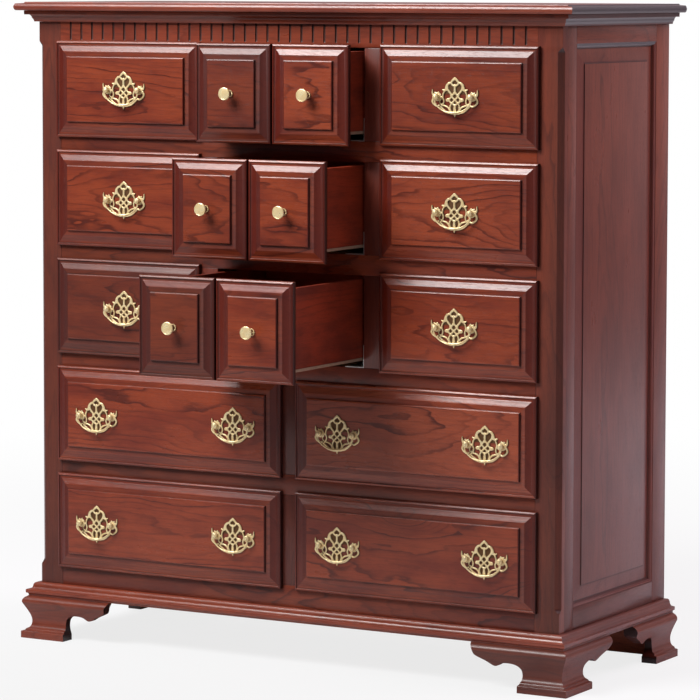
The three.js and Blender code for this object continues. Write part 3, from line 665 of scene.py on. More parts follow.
def framedSide(side):
    plan = sideFrame
    low, high = chest["low"], chest["high"]
    y0, y1 = float(plan["stile"]), plan["back"] - plan["stile"]
    z0, z1 = low + plan["bottomRail"], high - plan["topRail"]
    inner, outer, sticking, recess = (plan[k] for k in ("inner", "outer", "sticking", "recess"))
    seed = 80 + 10 * (side > 0)
    boards = [(plan["front"], y0, low, high, 2), (y1, plan["back"], low, high, 2),
              (y0 + 0.1, y1 - 0.1, low, z0, 1), (y0 + 0.1, y1 - 0.1, z1, high, 1)]
    shells = []
    for k, (ya, yb, za, zb, along) in enumerate(boards):
        shell = boardShell((side * inner, ya, za), (side * outer, yb, zb), along, seed + k, plan["ease"])
        tint = np.interp(shell["points"][:, 2], plan["tintAt"], plan["frameTint"])
        shell["tint"] = tint + plan["rearTint"] * (k == 1)
        shells.append(shell)
    # sticking: a quarter round from the frame's face down to the panel, lofted round the opening; painted
    # shade darkens its top quirk and its foot at the panel, and a slight painted highlight lightens its arris
    t = np.linspace(0, 1, 7) * math.pi / 2
    curve = 1.6 + (sticking - 2.6) * np.sin(t)
    inset = np.concatenate([[-0.5, 0.6, 1.4], curve, [sticking - 0.2, sticking + 0.4, sticking + 0.4, -0.5]])
    curve = 1.0 + (recess - 2.4) * (1 - np.cos(t))
    sink = np.concatenate([[1.2, 0.1, 0.9], curve, [recess - 0.6, recess + 0.4, recess + 3, recess + 3]])
    tint = np.concatenate([[-0.6, 0.12, -0.5], np.zeros(7), [-0.5, -0.9, -0.9, -0.9, -0.6]])
    line = sideRings((y0, y1, z0, z1), side * (outer - sink), inset)
    ring = loftShell(line + line[:1], 2, 1, seed + 4, tint, capped=False)
    # painted sheen by side: a light grey painted reflection along the top, a faint painted red glow on the
    # rest
    ring["haze"] = np.tile(plan["stickingHaze"], len(line)).astype(float)
    # raised panel: a flat edge under the frame, a hollowed bevel and the field; painted shade darkens the
    # flat edge and the step up to the field
    w = np.linspace(0, 1, 8)
    rim = sticking + plan["bevel"]
    curve = sticking + 2.0 + (plan["bevel"] - 2.0) * w
    inset = np.concatenate([[-8, -8, sticking + 0.5, sticking + 2.0], curve, [rim + 0.4, rim + 1.2]])
    curve = 0.1 + (plan["rise"] - 1.6) * w ** 1.25
    height = np.concatenate([[-9, 0, 0, 0.1], curve, [plan["rise"] - 0.3, plan["rise"]]])
    tint = np.concatenate([[0, 0, -0.8, -0.3], np.full(7, 0.03), [-0.5, -0.4, 0]])
    rings = sideRings((y0, y1, z0, z1), side * (outer - recess + height), inset)
    panel = loftShell(rings, 2, 1, seed + 5, tint)
    panel["tint"] = panel["tint"] + np.interp(panel["points"][:, 2], plan["tintAt"], plan["panelTint"])
    # quads run round the panel: 0 bottom, 1 rear, 2 top, 3 front; the bevel is darker at the front and rear,
    # the step up to the field darker still as painted shade, and the bevel has a faint painted red glow
    strip, haze = np.zeros((len(rings) - 1, 4)), np.zeros((len(rings) - 1, 4))
    strip[3:-2, [1, 3]] = 0.24
    strip[-2:] = 0.5
    haze[3:-2] = plan["bevelHaze"]
    panel["strip"], panel["haze"] = strip.ravel(), haze.ravel()
    return shells, ring, panel


for side, word in ((-1, "left"), (1, "right")):
    boards, ring, panel = framedSide(side)
    putMesh(f"sideFrame_{word}", boards, wood["caseWood"], "case", [f"{word}_side"])
    putMesh(f"sideSticking_{word}", [ring], wood["caseWood"], "case", (), crisp=28)
    putMesh(f"sidePanel_{word}", [panel], wood["caseWood"], "case", (), crisp=28)

insidePlan = {
    "backCount": 5, "backFront": 473, "shelf": 16, "shelfGap": 0.3, "divider": 193.75, "halfDivider": 10,
    "bottomInset": 10, "bottomFront": 30.3, "bottomLow": 98,
}
low, high, insideX, front, back = (chest[k] for k in ("low", "high", "insideX", "insideFront", "insideBack"))
backBoards = []
for k in range(insidePlan["backCount"]):
    x0, x1 = (-insideX + 2 * insideX * n / insidePlan["backCount"] for n in (k, k + 1))
    ends = (x0 + 0.5, insidePlan["backFront"], low), (x1 - 0.5, chest["depth"], high)
    backBoards.append(boardShell(*ends, 2, 110 + k, 1.4))
putMesh("backBoards", backBoards, wood["plainWood"], "case", ["back_panel"])

dust, dividers = [], []
shelves = [bottom + frontFrame["lap"] for bottom in rowBottoms]
gap, half = insidePlan["shelfGap"], insidePlan["halfDivider"]
for row, shelf in enumerate(shelves):
    ends = (-insideX, front, shelf - insidePlan["shelf"]), (insideX, back, shelf)
    dust.append(boardShell(*ends, 0, 120 + row, 0.8))
    ceiling = high if row == 0 else shelves[row - 1] - insidePlan["shelf"] + gap
    for k, x in enumerate((-insidePlan["divider"], insidePlan["divider"]) if row < 3 else (0,)):
        ends = (x - half, front, shelf - gap), (x + half, back, ceiling)
        dividers.append(boardShell(*ends, 1, 130 + 3 * row + k, 0.8))
putMesh("dustBoards", dust, wood["plainWood"], "case", ["inner_frame"])
putMesh("dividers", dividers, wood["plainWood"], "case", ())
x = insideX - insidePlan["bottomInset"]
ends = (-x, insidePlan["bottomFront"], insidePlan["bottomLow"]), (x, chest["depth"], chest["baseTop"])
bottomBoard = boardShell(*ends, 0, 150, 1)
putMesh("bottomBoard", [bottomBoard], wood["plainWood"], "case", ["bottom_board"])
print("stage: sides, back and inside ready")


# Feet
foot = {
    # height, and how far the shapes that cut the boards go along the run and past the corner
    "top": 89.7, "far": 204, "past": -60,
    "ogee": [(21, 88.6), (25.6, 86), (28.8, 82.4), (30.3, 78.4), (29.9, 74.6), (27.6, 70), (22.5, 60),
             (17.2, 48), (14.8, 37), (15.8, 27), (19, 21.6), (24, 19)],
    "pad": [(24.9, 17.6), (25.4, 15.6), (31.2, 14.6), (32, 13.6), (32, 0)],
    # distance from the corner and height of the bracket's lower edge: front, side and rear
    "front": [(75, 0), (75, 11), (74.2, 14.5), (72.4, 20), (71.3, 27), (71.3, 34), (74, 44), (84, 51.6),
              (99, 54.2), (115, 52.8), (131, 45.6), (151, 55.4), (171, 64.6), (175, 71), (176.6, 78),
              (183, 89.7)],
    "side": [(84, 0), (84, 11), (82.4, 15), (79, 20), (77, 27), (77, 34), (79.6, 43.6), (88, 50.6),
             (100, 53.6), (114, 52.2), (129, 46), (150, 55.4), (171, 64.6), (175, 71), (177, 78),
             (183, 89.7)],
    "rear": [(104, 0), (104, 11), (101, 15), (94, 21), (90, 28), (90, 36), (94, 45), (102, 51.4),
             (113, 54), (125, 52), (139, 46), (158, 54.6), (178, 63), (186, 68), (190, 78), (192, 89.7)],
    # plan of the front board at a corner: mitre line first, inner face last
    "plan": [(-61, -61), (204, -61), (204, -10), (90, 1), (1, 1)], "inner": 1,
    # the plain board behind each rear bracket: reach, thickness, and tint in front and behind: painted light
    # on its front half, its back half darker
    "plainReach": 184, "plainThick": 22, "plainTint": (0.9, -0.5),
    "frontTint": {-1: -0.2, 1: -0.52}, "sideTint": -0.36, "rearTint": -0.3,
}


def footFace():
    # outline of the board's section: the face from the top down (the ogee, a small step, the flat pad), then
    # back to the far side; the overhangs count outwards, so they are negative
    profile = np.vstack([[(19.8, foot["top"])], smoothLine(foot["ogee"], 4), softened(foot["pad"], 0.4)])
    return np.vstack([[(-o, h) for o, h in profile], [(foot["far"], 0), (foot["far"], foot["top"])]])


def bracketOutline(key):
    past = foot["past"]
    return np.vstack([[(past, 0)], smoothLine(foot[key], 6), [(past, foot["top"])]])


def extrudedOutline(points, axis, low, high):
    # a flat outline of (distance from the corner, height) carried from low to high along x (0) or y (1)
    p = np.asarray(points, float)
    rings = []
    for place in (low, high):
        rings.append([(d, place, h) if axis == 1 else (place, d, h) for d, h in p])
    return loftShell(rings, 1 - axis, 2, 0)


def temporaryObject(shell, name):
    mesh = bpy.data.meshes.new(name)
    faces = turnedOutwards(shell["points"], shell["faces"])
    mesh.from_pydata(shell["points"].tolist(), [], [list(f) for block in faces for f in block.tolist()])
    piece = bpy.data.objects.new(name, mesh)
    bpy.context.scene.collection.objects.link(piece)
    return piece


def intersected(shells, name):
    # the solid common to all shells, worked out by Blender's exact boolean; returns points and faces
    pieces = [temporaryObject(shell, f"{name}_{k}") for k, shell in enumerate(shells)]
    first = pieces[0]
    for tool in pieces[1:]:
        cut = first.modifiers.new("cut", "BOOLEAN")
        cut.operation, cut.solver, cut.object = "INTERSECT", "EXACT", tool
    graph = bpy.context.evaluated_depsgraph_get()
    mesh = bpy.data.meshes.new_from_object(first.evaluated_get(graph))
    points = np.empty(len(mesh.vertices) * 3)
    mesh.vertices.foreach_get("co", points)
    faces = {}
    for polygon in mesh.polygons:
        faces.setdefault(len(polygon.vertices), []).append(list(polygon.vertices))
    for piece in pieces:
        bpy.data.objects.remove(piece)
    bpy.data.meshes.remove(mesh)
    return points.reshape(-1, 3), [np.array(block) for block in faces.values()]


def footBoard(along):
    # one board of a foot at a corner at zero, the chest towards +x and +y: an ogee face (across the board's
    # run) met by the bracket outline (along it), mitred at the corner
    past, far = foot["past"], foot["far"]
    run, cross = (0, 1) if along == 0 else (1, 0)
    shells = [
        extrudedOutline(bracketOutline("side" if along else "front"), cross, past, 10),
        extrudedOutline(footFace(), cross, past, far),
        extrudedOutline(footFace(), run, past, far),
        loftShell([[(y, x, h) if along else (x, y, h) for x, y in foot["plan"]] for h in (-5, 95)]),
    ]
    return intersected(shells, f"footBoard{along}")


def placed(board, side, rear, along, seed, tint):
    points, faces = board
    p = points.copy()
    if rear:
        p[:, 1] = chest["depth"] - p[:, 1]
    p[:, 0] = side * (chest["halfWidth"] - p[:, 0])
    return newShell(p, faces, grainOf(p, along, 2, seed), np.full(len(p), tint), along)


frontBoard, sideBoard = footBoard(0), footBoard(1)
past, far, top, reach, thick = (foot[k] for k in ("past", "far", "top", "plainReach", "plainThick"))
rearSide = intersected([
    extrudedOutline(bracketOutline("rear"), 0, past, foot["inner"]),
    extrudedOutline(footFace(), 1, 0.2, far),
], "rearSide")
plainOutline = [(past, 0), (0.7 * reach, 0), (reach, 0.62 * top), (reach, top), (past, top)]
rearPlain = intersected([
    extrudedOutline(plainOutline, 1, 0.2, thick),
    extrudedOutline([(1.1, 0), (far, 0), (far, top), (1.1, top)], 1, 0, 30),
], "rearPlain")
for side, word in ((-1, "left"), (1, "right")):
    shells = {
        "front": [placed(frontBoard, side, False, 0, 160 + side, foot["frontTint"][side]),
                  placed(sideBoard, side, False, 1, 162 + side, foot["sideTint"])],
        "rear": [placed(rearSide, side, True, 1, 164 + side, foot["rearTint"]),
                 placed(rearPlain, side, True, 0, 166 + side, foot["rearTint"])],
    }
    plain = shells["rear"][1]
    plain["tint"] = np.where(plain["points"][:, 1] < chest["depth"] - thick / 2, *foot["plainTint"])
    for end, boards in shells.items():
        node = f"foot_{end}_{word}"
        putMesh(f"{node}_boards", boards, wood["trimWood"], "case", [node])
print("stage: feet ready")


# Drawer fronts
frontPlan = {
    "back": 0.3, "plug": 10.0, "plugDepth": 14, "wider": 2.0, "taller": 3.5, "gap": 2.8, "gapFloor": -8.0,
    # (inset from the rim, height over the case's face, tint): outer side and bead, quirk, bevel, band, field;
    # the tint is painted shade, most down the outer side, in the quirk and at the foot of the field's step,
    # slight on the bevel and band, with a slight painted highlight on the field's edge
    "edge": [
        (0.0, 0.3, -0.5), (0.0, 3.0, -0.4), (0.1, 5.4, -0.25), (0.5, 7.4, -0.1), (1.2, 8.5, 0.0),
        (1.7, 8.78, 0.0), (3.8, 9.67, 0.0), (4.2, 9.82, 0.0), (4.6, 9.85, -0.05), (4.9, 9.6, -0.3),
        (5.1, 8.9, -0.45), (5.4, 8.3, -0.5), (6.3, 8.1, -0.4), (7.6, 8.15, -0.2), (9.0, 8.5, -0.1),
        (10.2, 8.75, -0.08), (10.8, 9.05, -0.08), (13.0, 9.9, -0.05), (16.0, 11.2, -0.05),
        (19.0, 12.5, -0.05), (21.6, 13.6, -0.05), (22.4, 13.85, -0.1), (23.4, 13.95, -0.14),
        (27.0, 14.05, -0.14), (31.2, 14.15, -0.16), (31.8, 14.3, -0.4), (32.1, 15.4, -0.3),
        (32.4, 17.6, -0.15), (32.8, 18.3, 0.05), (33.9, 18.78, 0.05), (34.4, 18.95, 0.0), (36.0, 19.0, 0.0),
    ],
    # tint added to a whole front, for its board's own tone and for painted light and shade; a centre front
    # has one for each of its blocks
    "shade": {
        "row1_left": -0.08, "row1_centre": (-0.3, 0.08), "row1_right": -0.12,
        "row2_left": -0.08, "row2_centre": (-0.1, 0.0), "row2_right": 0.1,
        "row3_left": -0.42, "row3_centre": (-0.4, -0.04), "row3_right": 0.0,
        "row4_left": 0.0, "row4_right": 0.2, "row5_left": -0.05, "row5_right": -0.07,
    },
    # at these insets, by side (0 bottom, 1 right, 2 top, 3 left): end-grain darkness of a side with painted
    # shade added to it, most on the right's outer side and bead, and the side's painted sheen
    "lookAt": [0.0, 4.8, 9.4, 11.5, 15.5, 18.5, 22.0, 23.4, 27.0, 31.2, 31.7, 33.0, 34.0],
    "endLook": {
        1: [0.62, 0.62, 0.5, 0.17, 0.17, 0.34, 0.34, 0.08, 0.08, 0.14, 0.35, 0.3, 0.0],
        3: [0.2, 0.25, 0.42, 0.42, 0.42, 0.42, 0.42, 0.5, 0.42, 0.3, 0.3, 0.2, 0.0],
    },
    "hazeLook": {
        0: [0, 0, 0, 0, 0, 0, 0.1, 0.1, 0.1, 0.1, 0, 0, 0],
        1: [-0.02, -0.02, -0.03, -0.04, -0.04, -0.02, 0.0, 0.24, 0.24, 0.05, -0.03, -0.03, 0],
        3: [-0.03, -0.03, -0.03, -0.03, -0.03, -0.03, -0.03, -0.03, -0.03, -0.04, -0.04, -0.04, 0],
    },
    # insets of the top bevel, and a painted red glow with more roughness on it for some centre fronts
    "bevel": (9, 22.4), "topGlow": {"row2_centre": -0.02, "row3_centre": -0.06},
}


def frontLoft(span, steps, seed, shade=0.0):
    # rectangles at the height of each step, their edges moved inwards by its inset
    x0, x1, z0, z1 = span
    rings = [[(x0 + s, -h, z0 + s), (x1 - s, -h, z0 + s), (x1 - s, -h, z1 - s), (x0 + s, -h, z1 - s)]
             for s, h, _ in steps]
    return loftShell(rings, 0, 2, seed, [s[2] + shade for s in steps])


def edgeLooks(shell, topGlow):
    # quads run round a front: 0 bottom, 1 right, 2 top, 3 left; rows of quads run inwards after three
    # hidden ones
    plan = frontPlan
    inset = np.array([s[0] for s in plan["edge"]])
    middle = (inset[:-1] + inset[1:]) / 2
    for key, looks in (("strip", plan["endLook"]), ("haze", plan["hazeLook"])):
        values = np.zeros((len(middle) + 3, 4))
        for side, given in looks.items():
            values[3:, side] = np.interp(middle, plan["lookAt"], given)
        shell[key] = values
    low, high = plan["bevel"]
    shell["haze"][3:, 2] = np.where((middle > low) & (middle < high), topGlow, 0)
    shell["strip"], shell["haze"] = shell["strip"].ravel(), shell["haze"].ravel()
    return shell


def frontShells(drawer):
    plan = frontPlan
    x0, x1 = drawer["x0"] - plan["wider"], drawer["x1"] + plan["wider"]
    z0, z1 = drawer["z0"] - plan["taller"], drawer["z1"] + plan["taller"]
    plug, back, gapFloor = plan["plug"], plan["back"], plan["gapFloor"]
    seed = 200 + 7 * drawer["row"] + {"left": 0, "centre": 1, "right": 2}[drawer["place"]]
    shade = plan["shade"][drawer["name"]]
    if drawer["place"] != "centre":
        # the plug and the lip's back are darkened as painted shade
        steps = [(plug, -plan["plugDepth"], -0.2), (plug, back, -0.5), (0.6, back, -0.5)] + plan["edge"]
        return [edgeLooks(frontLoft((x0, x1, z0, z1), steps, seed, shade), 0.0)]
    # two complete blocks side by side on one plug, with a deep channel between them, darkened almost to black
    # as painted shade
    steps = [(plug, -plan["plugDepth"], -0.2), (plug, gapFloor, -0.95)]
    board = frontLoft((x0, x1, z0, z1), steps, seed)
    steps = [(plug + 1, gapFloor - 0.5, -0.9), (plug + 1, back, -0.8), (0.6, back, -0.5)] + plan["edge"]
    shells = [board]
    for left, right, blockShade in ((x0, -plan["gap"] / 2, shade[0]), (plan["gap"] / 2, x1, shade[1])):
        block = frontLoft((left, right, z0, z1), steps, seed, blockShade)
        # the side along the channel goes straight back to the channel's floor
        edgeX, corners = (right, [1, 2]) if right < 0 else (left, [0, 3])
        block["points"].reshape(-1, 4, 3)[:3, corners, 0] = edgeX
        shells.append(edgeLooks(block, plan["topGlow"].get(drawer["name"], 0.0)))
    for shell in shells:
        p = shell["points"][:, [0, 2, 1]] / 1000
        shell["grain"] = p - np.array([(x0 + x1) / 2, (z0 + z1) / 2, 0]) / 1000 + board["grain"].mean(0)
    return shells


for drawer in drawers:
    name, move = drawer["name"], (0, -drawer["open"], 0)
    putMesh(f"front_{name}_moulded", frontShells(drawer), wood["frontWood"], f"drawer_{name}",
            [f"front_{name}"], move, crisp=24)
print("stage: drawer fronts ready")


# Drawer boxes and slides
boxPlan = {
    "clear": 9.0, "front": 14.3, "back": 447, "wall": 12, "below": 10.5, "above": 20.5, "bottom": 6,
    "ease": 2.2,
    # section of the folded slide member under each side
    "member": [(-1.3, -1.4), (13, -1.4), (13, -0.1), (-0.1, -0.1), (-0.1, 4.0), (-1.3, 4.0)],
}
slidePlan = {"flange": 43, "upright": 46, "thick": 1.8, "front": 1.0, "back": 440, "inX": 4.2, "inZ": 4.1}
t, across, up = (slidePlan[k] for k in ("thick", "flange", "upright"))
# L-section of a channel: a flange on the shelf and an upright against the opening's edge
slidePlan["section"] = [(0, 0), (across, 0), (across, t), (t + 1.2, t), (t, t + 1.2), (t, up), (0, up)]


def stripShell(section, x, direction, z, front, back):
    # a section of (distance inwards, height) carried along y
    return loftShell([[(x + direction * a, y, z + b) for a, b in section] for y in (front, back)], 1, 0, 0)


for index, drawer in enumerate(drawers):
    name, x0, x1, z0, z1 = (drawer[k] for k in ("name", "x0", "x1", "z0", "z1"))
    plan, slide = boxPlan, slidePlan
    left, right = x0 + plan["clear"], x1 - plan["clear"]
    low, high = z0 + plan["above"], z1 - plan["below"]
    f, b, w = plan["front"], plan["back"], plan["wall"]
    seed = 300 + 10 * index
    body, move = f"drawer_{name}", (0, -drawer["open"], 0)
    sides = [
        boardShell((left, f, low), (left + w, b, high), 1, seed, plan["ease"]),
        boardShell((right - w, f, low), (right, b, high), 1, seed + 1, plan["ease"]),
    ]
    putMesh(f"box_{name}_sides", sides, wood["boxWood"], body, [f"box_{name}"], move)
    ends = [
        boardShell((left + w, f, low), (right - w, f + w, high - 1), 0, seed + 2, 1),
        boardShell((left + w, b - w, low + 12), (right - w, b, high - 6), 0, seed + 3, 1.5),
    ]
    putMesh(f"box_{name}_ends", ends, wood["boxWood"], body, (), move)
    under = low + 7
    corners = (left + w - 4, f + w - 4, under), (right - w + 4, b - 0.5, under + plan["bottom"])
    floor = [boardShell(*corners, 0, seed + 4, 0.6)]
    putMesh(f"box_{name}_bottom", floor, wood["plainWood"], body, (), move)
    members = [stripShell(plan["member"], x, d, low, f + 2, b - 6) for x, d in ((left, 1), (right, -1))]
    putMesh(f"slideMember_{name}", members, painted, body, (), move)
    channels = [stripShell(slide["section"], x, d, z0 + slide["inZ"], slide["front"], slide["back"])
                for x, d in ((x0 + slide["inX"], 1), (x1 - slide["inX"], -1))]
    putMesh(f"slideChannel_{name}", channels, steel, "case", ())
print("stage: drawer boxes ready")


# Knobs
knob = {
    "profile": [
        (0.01, 0), (6.4, 0), (6.8, 0.6), (6.4, 1.3), (5.6, 1.4), (4.8, 0.9), (3.9, 1.0), (3.1, 1.8),
        (2.9, 3.4), (2.9, 6.0), (2.9, 8.5), (3.1, 11.0), (3.9, 13.0), (4.9, 14.2), (5.4, 14.9), (5.5, 15.6),
        (4.9, 16.2), (5.0, 16.8), (7.2, 17.8), (10.2, 19.0), (12.3, 20.1), (13.0, 21.0), (13.1, 22.0),
        (12.8, 22.9), (12.1, 23.5), (11.3, 23.7), (10.7, 23.4), (10.1, 23.5), (8.0, 23.8), (4.0, 24.1),
        (0.01, 24.2),
    ],
    # tint by the distance along the knob: painted shade on the base and down the neck under the face
    "tint": {
        1.4: -0.8, 0.9: -1.0, 1.0: -1.0, 1.8: -1.0, 3.4: -1.0, 6.0: -1.0, 8.5: -1.0, 11.0: -1.0, 13.0: -0.9,
        14.2: -0.6, 16.2: -0.9, 16.8: -0.9, 23.4: -0.2,
    },
    "beads": 14, "beadAt": 6.4, "beadOut": 1.7, "bead": 1.35, "face": -19.3, "fromMiddle": 90,
}
# a small ball: (sin t, -cos t)
t = np.linspace(0.02, math.pi - 0.02, 8)
beadProfile = np.stack([np.sin(t), -np.cos(t)], -1)
for drawer in drawers:
    if drawer["place"] != "centre":
        continue
    for sign, word in ((-1, "left"), (1, "right")):
        centre = (sign * knob["fromMiddle"], knob["face"], (drawer["z0"] + drawer["z1"]) / 2)
        name = f"knob_row{drawer['row'] + 1}_{word}"
        shells = [latheShell(knob["profile"], centre, (0, -1, 0), 48, knob["tint"])]
        for t in np.arange(knob["beads"]) * 2 * math.pi / knob["beads"]:
            along, high = knob["beadAt"] * math.cos(t), knob["beadAt"] * math.sin(t)
            at = np.add(centre, [along, -knob["beadOut"], high])
            shells.append(latheShell(beadProfile * knob["bead"], at, (0, -1, 0), 10))
        putMesh(f"{name}_turned", shells, brass, f"drawer_{drawer['name']}", [name],
                (0, -drawer["open"], 0), crisp=30)
print("stage: knobs ready")


# Pulls
pull = {
    "cell": 0.85, "stand": 0.7, "grow": 0.42, "thick": 2.3, "wall": 1.3, "face": -19.0, "pivot": 29.6,
    "post": 38.1, "rosette": 38.6, "groundCell": 1.7, "fromMiddle": 166.5,
    # strokes of the pierced plate's right half: points, width at the start, width at the end; a last value
    # of 1 repeats the stroke on the left
    "strokes": [
        ([(0, 35.9), (4.8, 32.2), (8.8, 27.8)], 4.6, 3.2, 1),
        ([(8.8, 27.8), (5.2, 23.2), (0, 21.4)], 3.0, 3.2, 1),
        ([(8, 27.8), (13.6, 26), (17.6, 21.4), (19.2, 15.4)], 3.6, 5.2, 1),
        ([(16.8, 20), (15.6, 14.6), (11.8, 9.4), (7.8, 5), (5.8, 1.6)], 3.6, 3.4, 1),
        ([(19, 14), (23, 12.4), (27, 13.8)], 5.2, 2.0, 1), ([(0, 23), (0, 15), (0, 7)], 3.6, 4.0, 0),
        ([(1.8, 8), (5.4, 3), (8.2, 2.4)], 3.0, 3.0, 1),
        ([(8.4, 2.4), (3.5, -2.7), (-0.3, -6.6)], 2.9, 2.9, 1),
        ([(0, -5.2), (3.5, -9), (7.8, -13.8)], 2.9, 2.8, 1),
        ([(6.6, 1), (11.2, -3.4), (17.4, -4.6)], 3.0, 2.6, 1),
        ([(7.6, -13.4), (11.2, -8.8), (17.4, -7.8)], 3.0, 2.6, 1), ([(12, -6.2), (17.6, -6.2)], 3.4, 4.6, 1),
        ([(7.2, -11.6), (3, -15), (0, -17)], 2.8, 2.8, 1), ([(0, -16), (0, -22), (0, -31)], 3.2, 6.4, 0),
        ([(7.8, -13.8), (10.3, -18.5), (10.2, -24), (8, -29.5)], 2.7, 3.2, 1),
        ([(10.4, -28), (13, -22.8), (17.2, -19.4), (23, -17.4)], 3.4, 2.6, 1),
        ([(9, -31.4), (16.5, -30.2), (23, -26.6), (28, -22.4), (31.6, -19.6)], 3.6, 2.6, 1),
        ([(23, -17.6), (27, -17)], 2.2, 2.2, 1),
        ([(22.6, 11.6), (25.6, 6), (26.6, -0.5), (24.4, -7.6), (26, -14.4), (31.4, -20)], 2.4, 2.8, 1),
        ([(30.4, -4.4), (33.2, -7.8), (32.6, -12.6), (28.4, -15.6)], 2.4, 2.4, 1),
        ([(26.4, -1), (31, -1)], 2.8, 4.0, 1), ([(44.6, 1.5), (49, 5.2), (49.9, 13.4)], 6.0, 1.2, 1),
        ([(46.6, -3), (49.6, -8.4), (46.9, -14), (39.4, -18.6), (34.4, -17.2)], 4.0, 2.8, 1),
        ([(0, -30), (0, -38.3)], 6.4, 1.6, 0), ([(0, -32.2), (10, -31.6)], 4.6, 4.0, 1),
    ],
    "discs": [(38.6, 0, 8.8), (43.4, 8.1, 1.7), (36.6, 8.6, 1.7), (32.6, 4.6, 1.6)],
}
segments = []
for points, first, last, mirrored in pull["strokes"]:
    curve = smoothLine(points, 6) if len(points) > 2 else np.array(points, float)
    width = np.linspace(first, last, len(curve))
    for sign in (1, -1) if mirrored else (1,):
        for a, b, wa, wb in zip(curve[:-1], curve[1:], width[:-1], width[1:]):
            radii = wa / 2 + pull["grow"], wb / 2 + pull["grow"]
            segments.append((sign * a[0], a[1], sign * b[0], b[1], *radii))


def plateDistance(x, z):
    # the least over all strokes of |p - nearest point of the segment| minus its half width there, and over
    # the discs of |p - middle| minus the radius
    nearest = np.full(x.shape, 99.0)
    for ax, az, bx, bz, ra, rb in segments:
        dx, dz = bx - ax, bz - az
        t = np.clip(((x - ax) * dx + (z - az) * dz) / (dx * dx + dz * dz + 1e-9), 0, 1)
        nearest = np.minimum(nearest, np.hypot(x - ax - t * dx, z - az - t * dz) - ra - (rb - ra) * t)
    for cx, cz, r in pull["discs"]:
        for sign in (1, -1):
            nearest = np.minimum(nearest, np.hypot(x - sign * cx, z - cz) - r)
    return nearest


def insideCells(x, z):
    # the cells of a grid whose middle lies in the plate
    return plateDistance((x[:-1, :-1] + x[1:, 1:]) / 2, (z[:-1, :-1] + z[1:, 1:]) / 2) < 0


def gridPart(x, z, chosen):
    # the points and cells of the chosen part of a grid, and its rim: the edges that belong to one cell only
    index = np.arange(x.size).reshape(x.shape)
    cells = np.stack([index[:-1, :-1], index[:-1, 1:], index[1:, 1:], index[1:, :-1]], -1)[chosen]
    edges = np.concatenate([cells[:, [k, (k + 1) % 4]] for k in range(4)])
    key = edges.min(1) * x.size + edges.max(1)
    _, first, counts = np.unique(key, return_index=True, return_counts=True)
    used = np.unique(cells)
    renumber = np.full(x.size, -1)
    renumber[used] = np.arange(len(used))
    return x.ravel()[used], z.ravel()[used], renumber[cells], renumber[edges[first[counts == 1]]]


def sheetShell(x, z, front, back, cells, rim, tint):
    # a front and a back layer of the same cells, joined by walls along the rim
    n = len(x)
    points = np.vstack([np.stack([x, y, z], -1) for y in (front, back)])
    walls = np.stack([rim[:, 0], rim[:, 1], rim[:, 1] + n, rim[:, 0] + n], -1)
    return newShell(points, [cells[:, ::-1], cells + n, walls[:, ::-1]], points / 1000, tint)


def plateShell():
    # cells of a square grid whose middle lies in the plate; their rim points move down the distance's slope
    # to zero; the face rises with depth d from the rim as wall + (thick - wall) sqrt(1 - (1 - d/r)^2)
    cell = pull["cell"]
    xs, zs = np.arange(-53, 53 + cell, cell), np.arange(-41, 41, cell)
    xs -= xs.mean()
    x, z = np.meshgrid(xs, zs)
    x, z, cells, rim = gridPart(x, z, insideCells(x, z))
    onRim = np.unique(rim)
    step = 0.05
    for _ in range(3):
        px, pz = x[onRim], z[onRim]
        move = np.clip(plateDistance(px, pz), -0.45, 0.45)
        gx = (plateDistance(px + step, pz) - plateDistance(px - step, pz)) / (2 * step)
        gz = (plateDistance(px, pz + step) - plateDistance(px, pz - step)) / (2 * step)
        x[onRim] -= move * gx
        z[onRim] -= move * gz
    d = np.clip(-plateDistance(x, z), 0, None)
    d[onRim] = 0
    rise = pull["wall"] + (pull["thick"] - pull["wall"]) * np.sqrt(1 - (1 - np.clip(d / 1.3, 0, 1)) ** 2)
    # painted shade: the face darkens within 0.8 of its rim, the walls darker still down to the back
    tint = np.concatenate([-0.6 * (1 - np.clip(d / 0.8, 0, 1)), np.full(len(x), -1.0)])
    return sheetShell(x, z, -rise, np.full_like(x, 0.2), cells, rim, tint)


def plateShadowSheet():
    # a thin dark sheet behind the plate's smaller openings, a painted shadow of the plate: cells with some of
    # the plate on both sides of them, across and upwards, less one cell all round and the large openings at
    # the lower left and right
    cell = pull["groundCell"]
    x, z = np.meshgrid(np.arange(-51, 51 + cell, cell), np.arange(-37.4, 39, cell))
    inside = insideCells(x, z)
    filled = (z[:-1, :-1] >= 3) | (np.abs(x[:-1, :-1] + cell / 2) <= 11)
    for axis in (0, 1):
        before = np.maximum.accumulate(inside, axis=axis)
        after = np.flip(np.maximum.accumulate(np.flip(inside, axis), axis=axis), axis)
        filled = filled & before & after
    core = filled.copy()
    sides = filled[:-2, 1:-1] & filled[2:, 1:-1] & filled[1:-1, :-2] & filled[1:-1, 2:]
    core[1:-1, 1:-1] = filled[1:-1, 1:-1] & sides
    x, z, cells, rim = gridPart(x, z, core)
    n = len(x)
    return sheetShell(x, z, np.full(n, -0.6), np.full(n, -0.1), cells, rim, np.full(2 * n, -1.0))


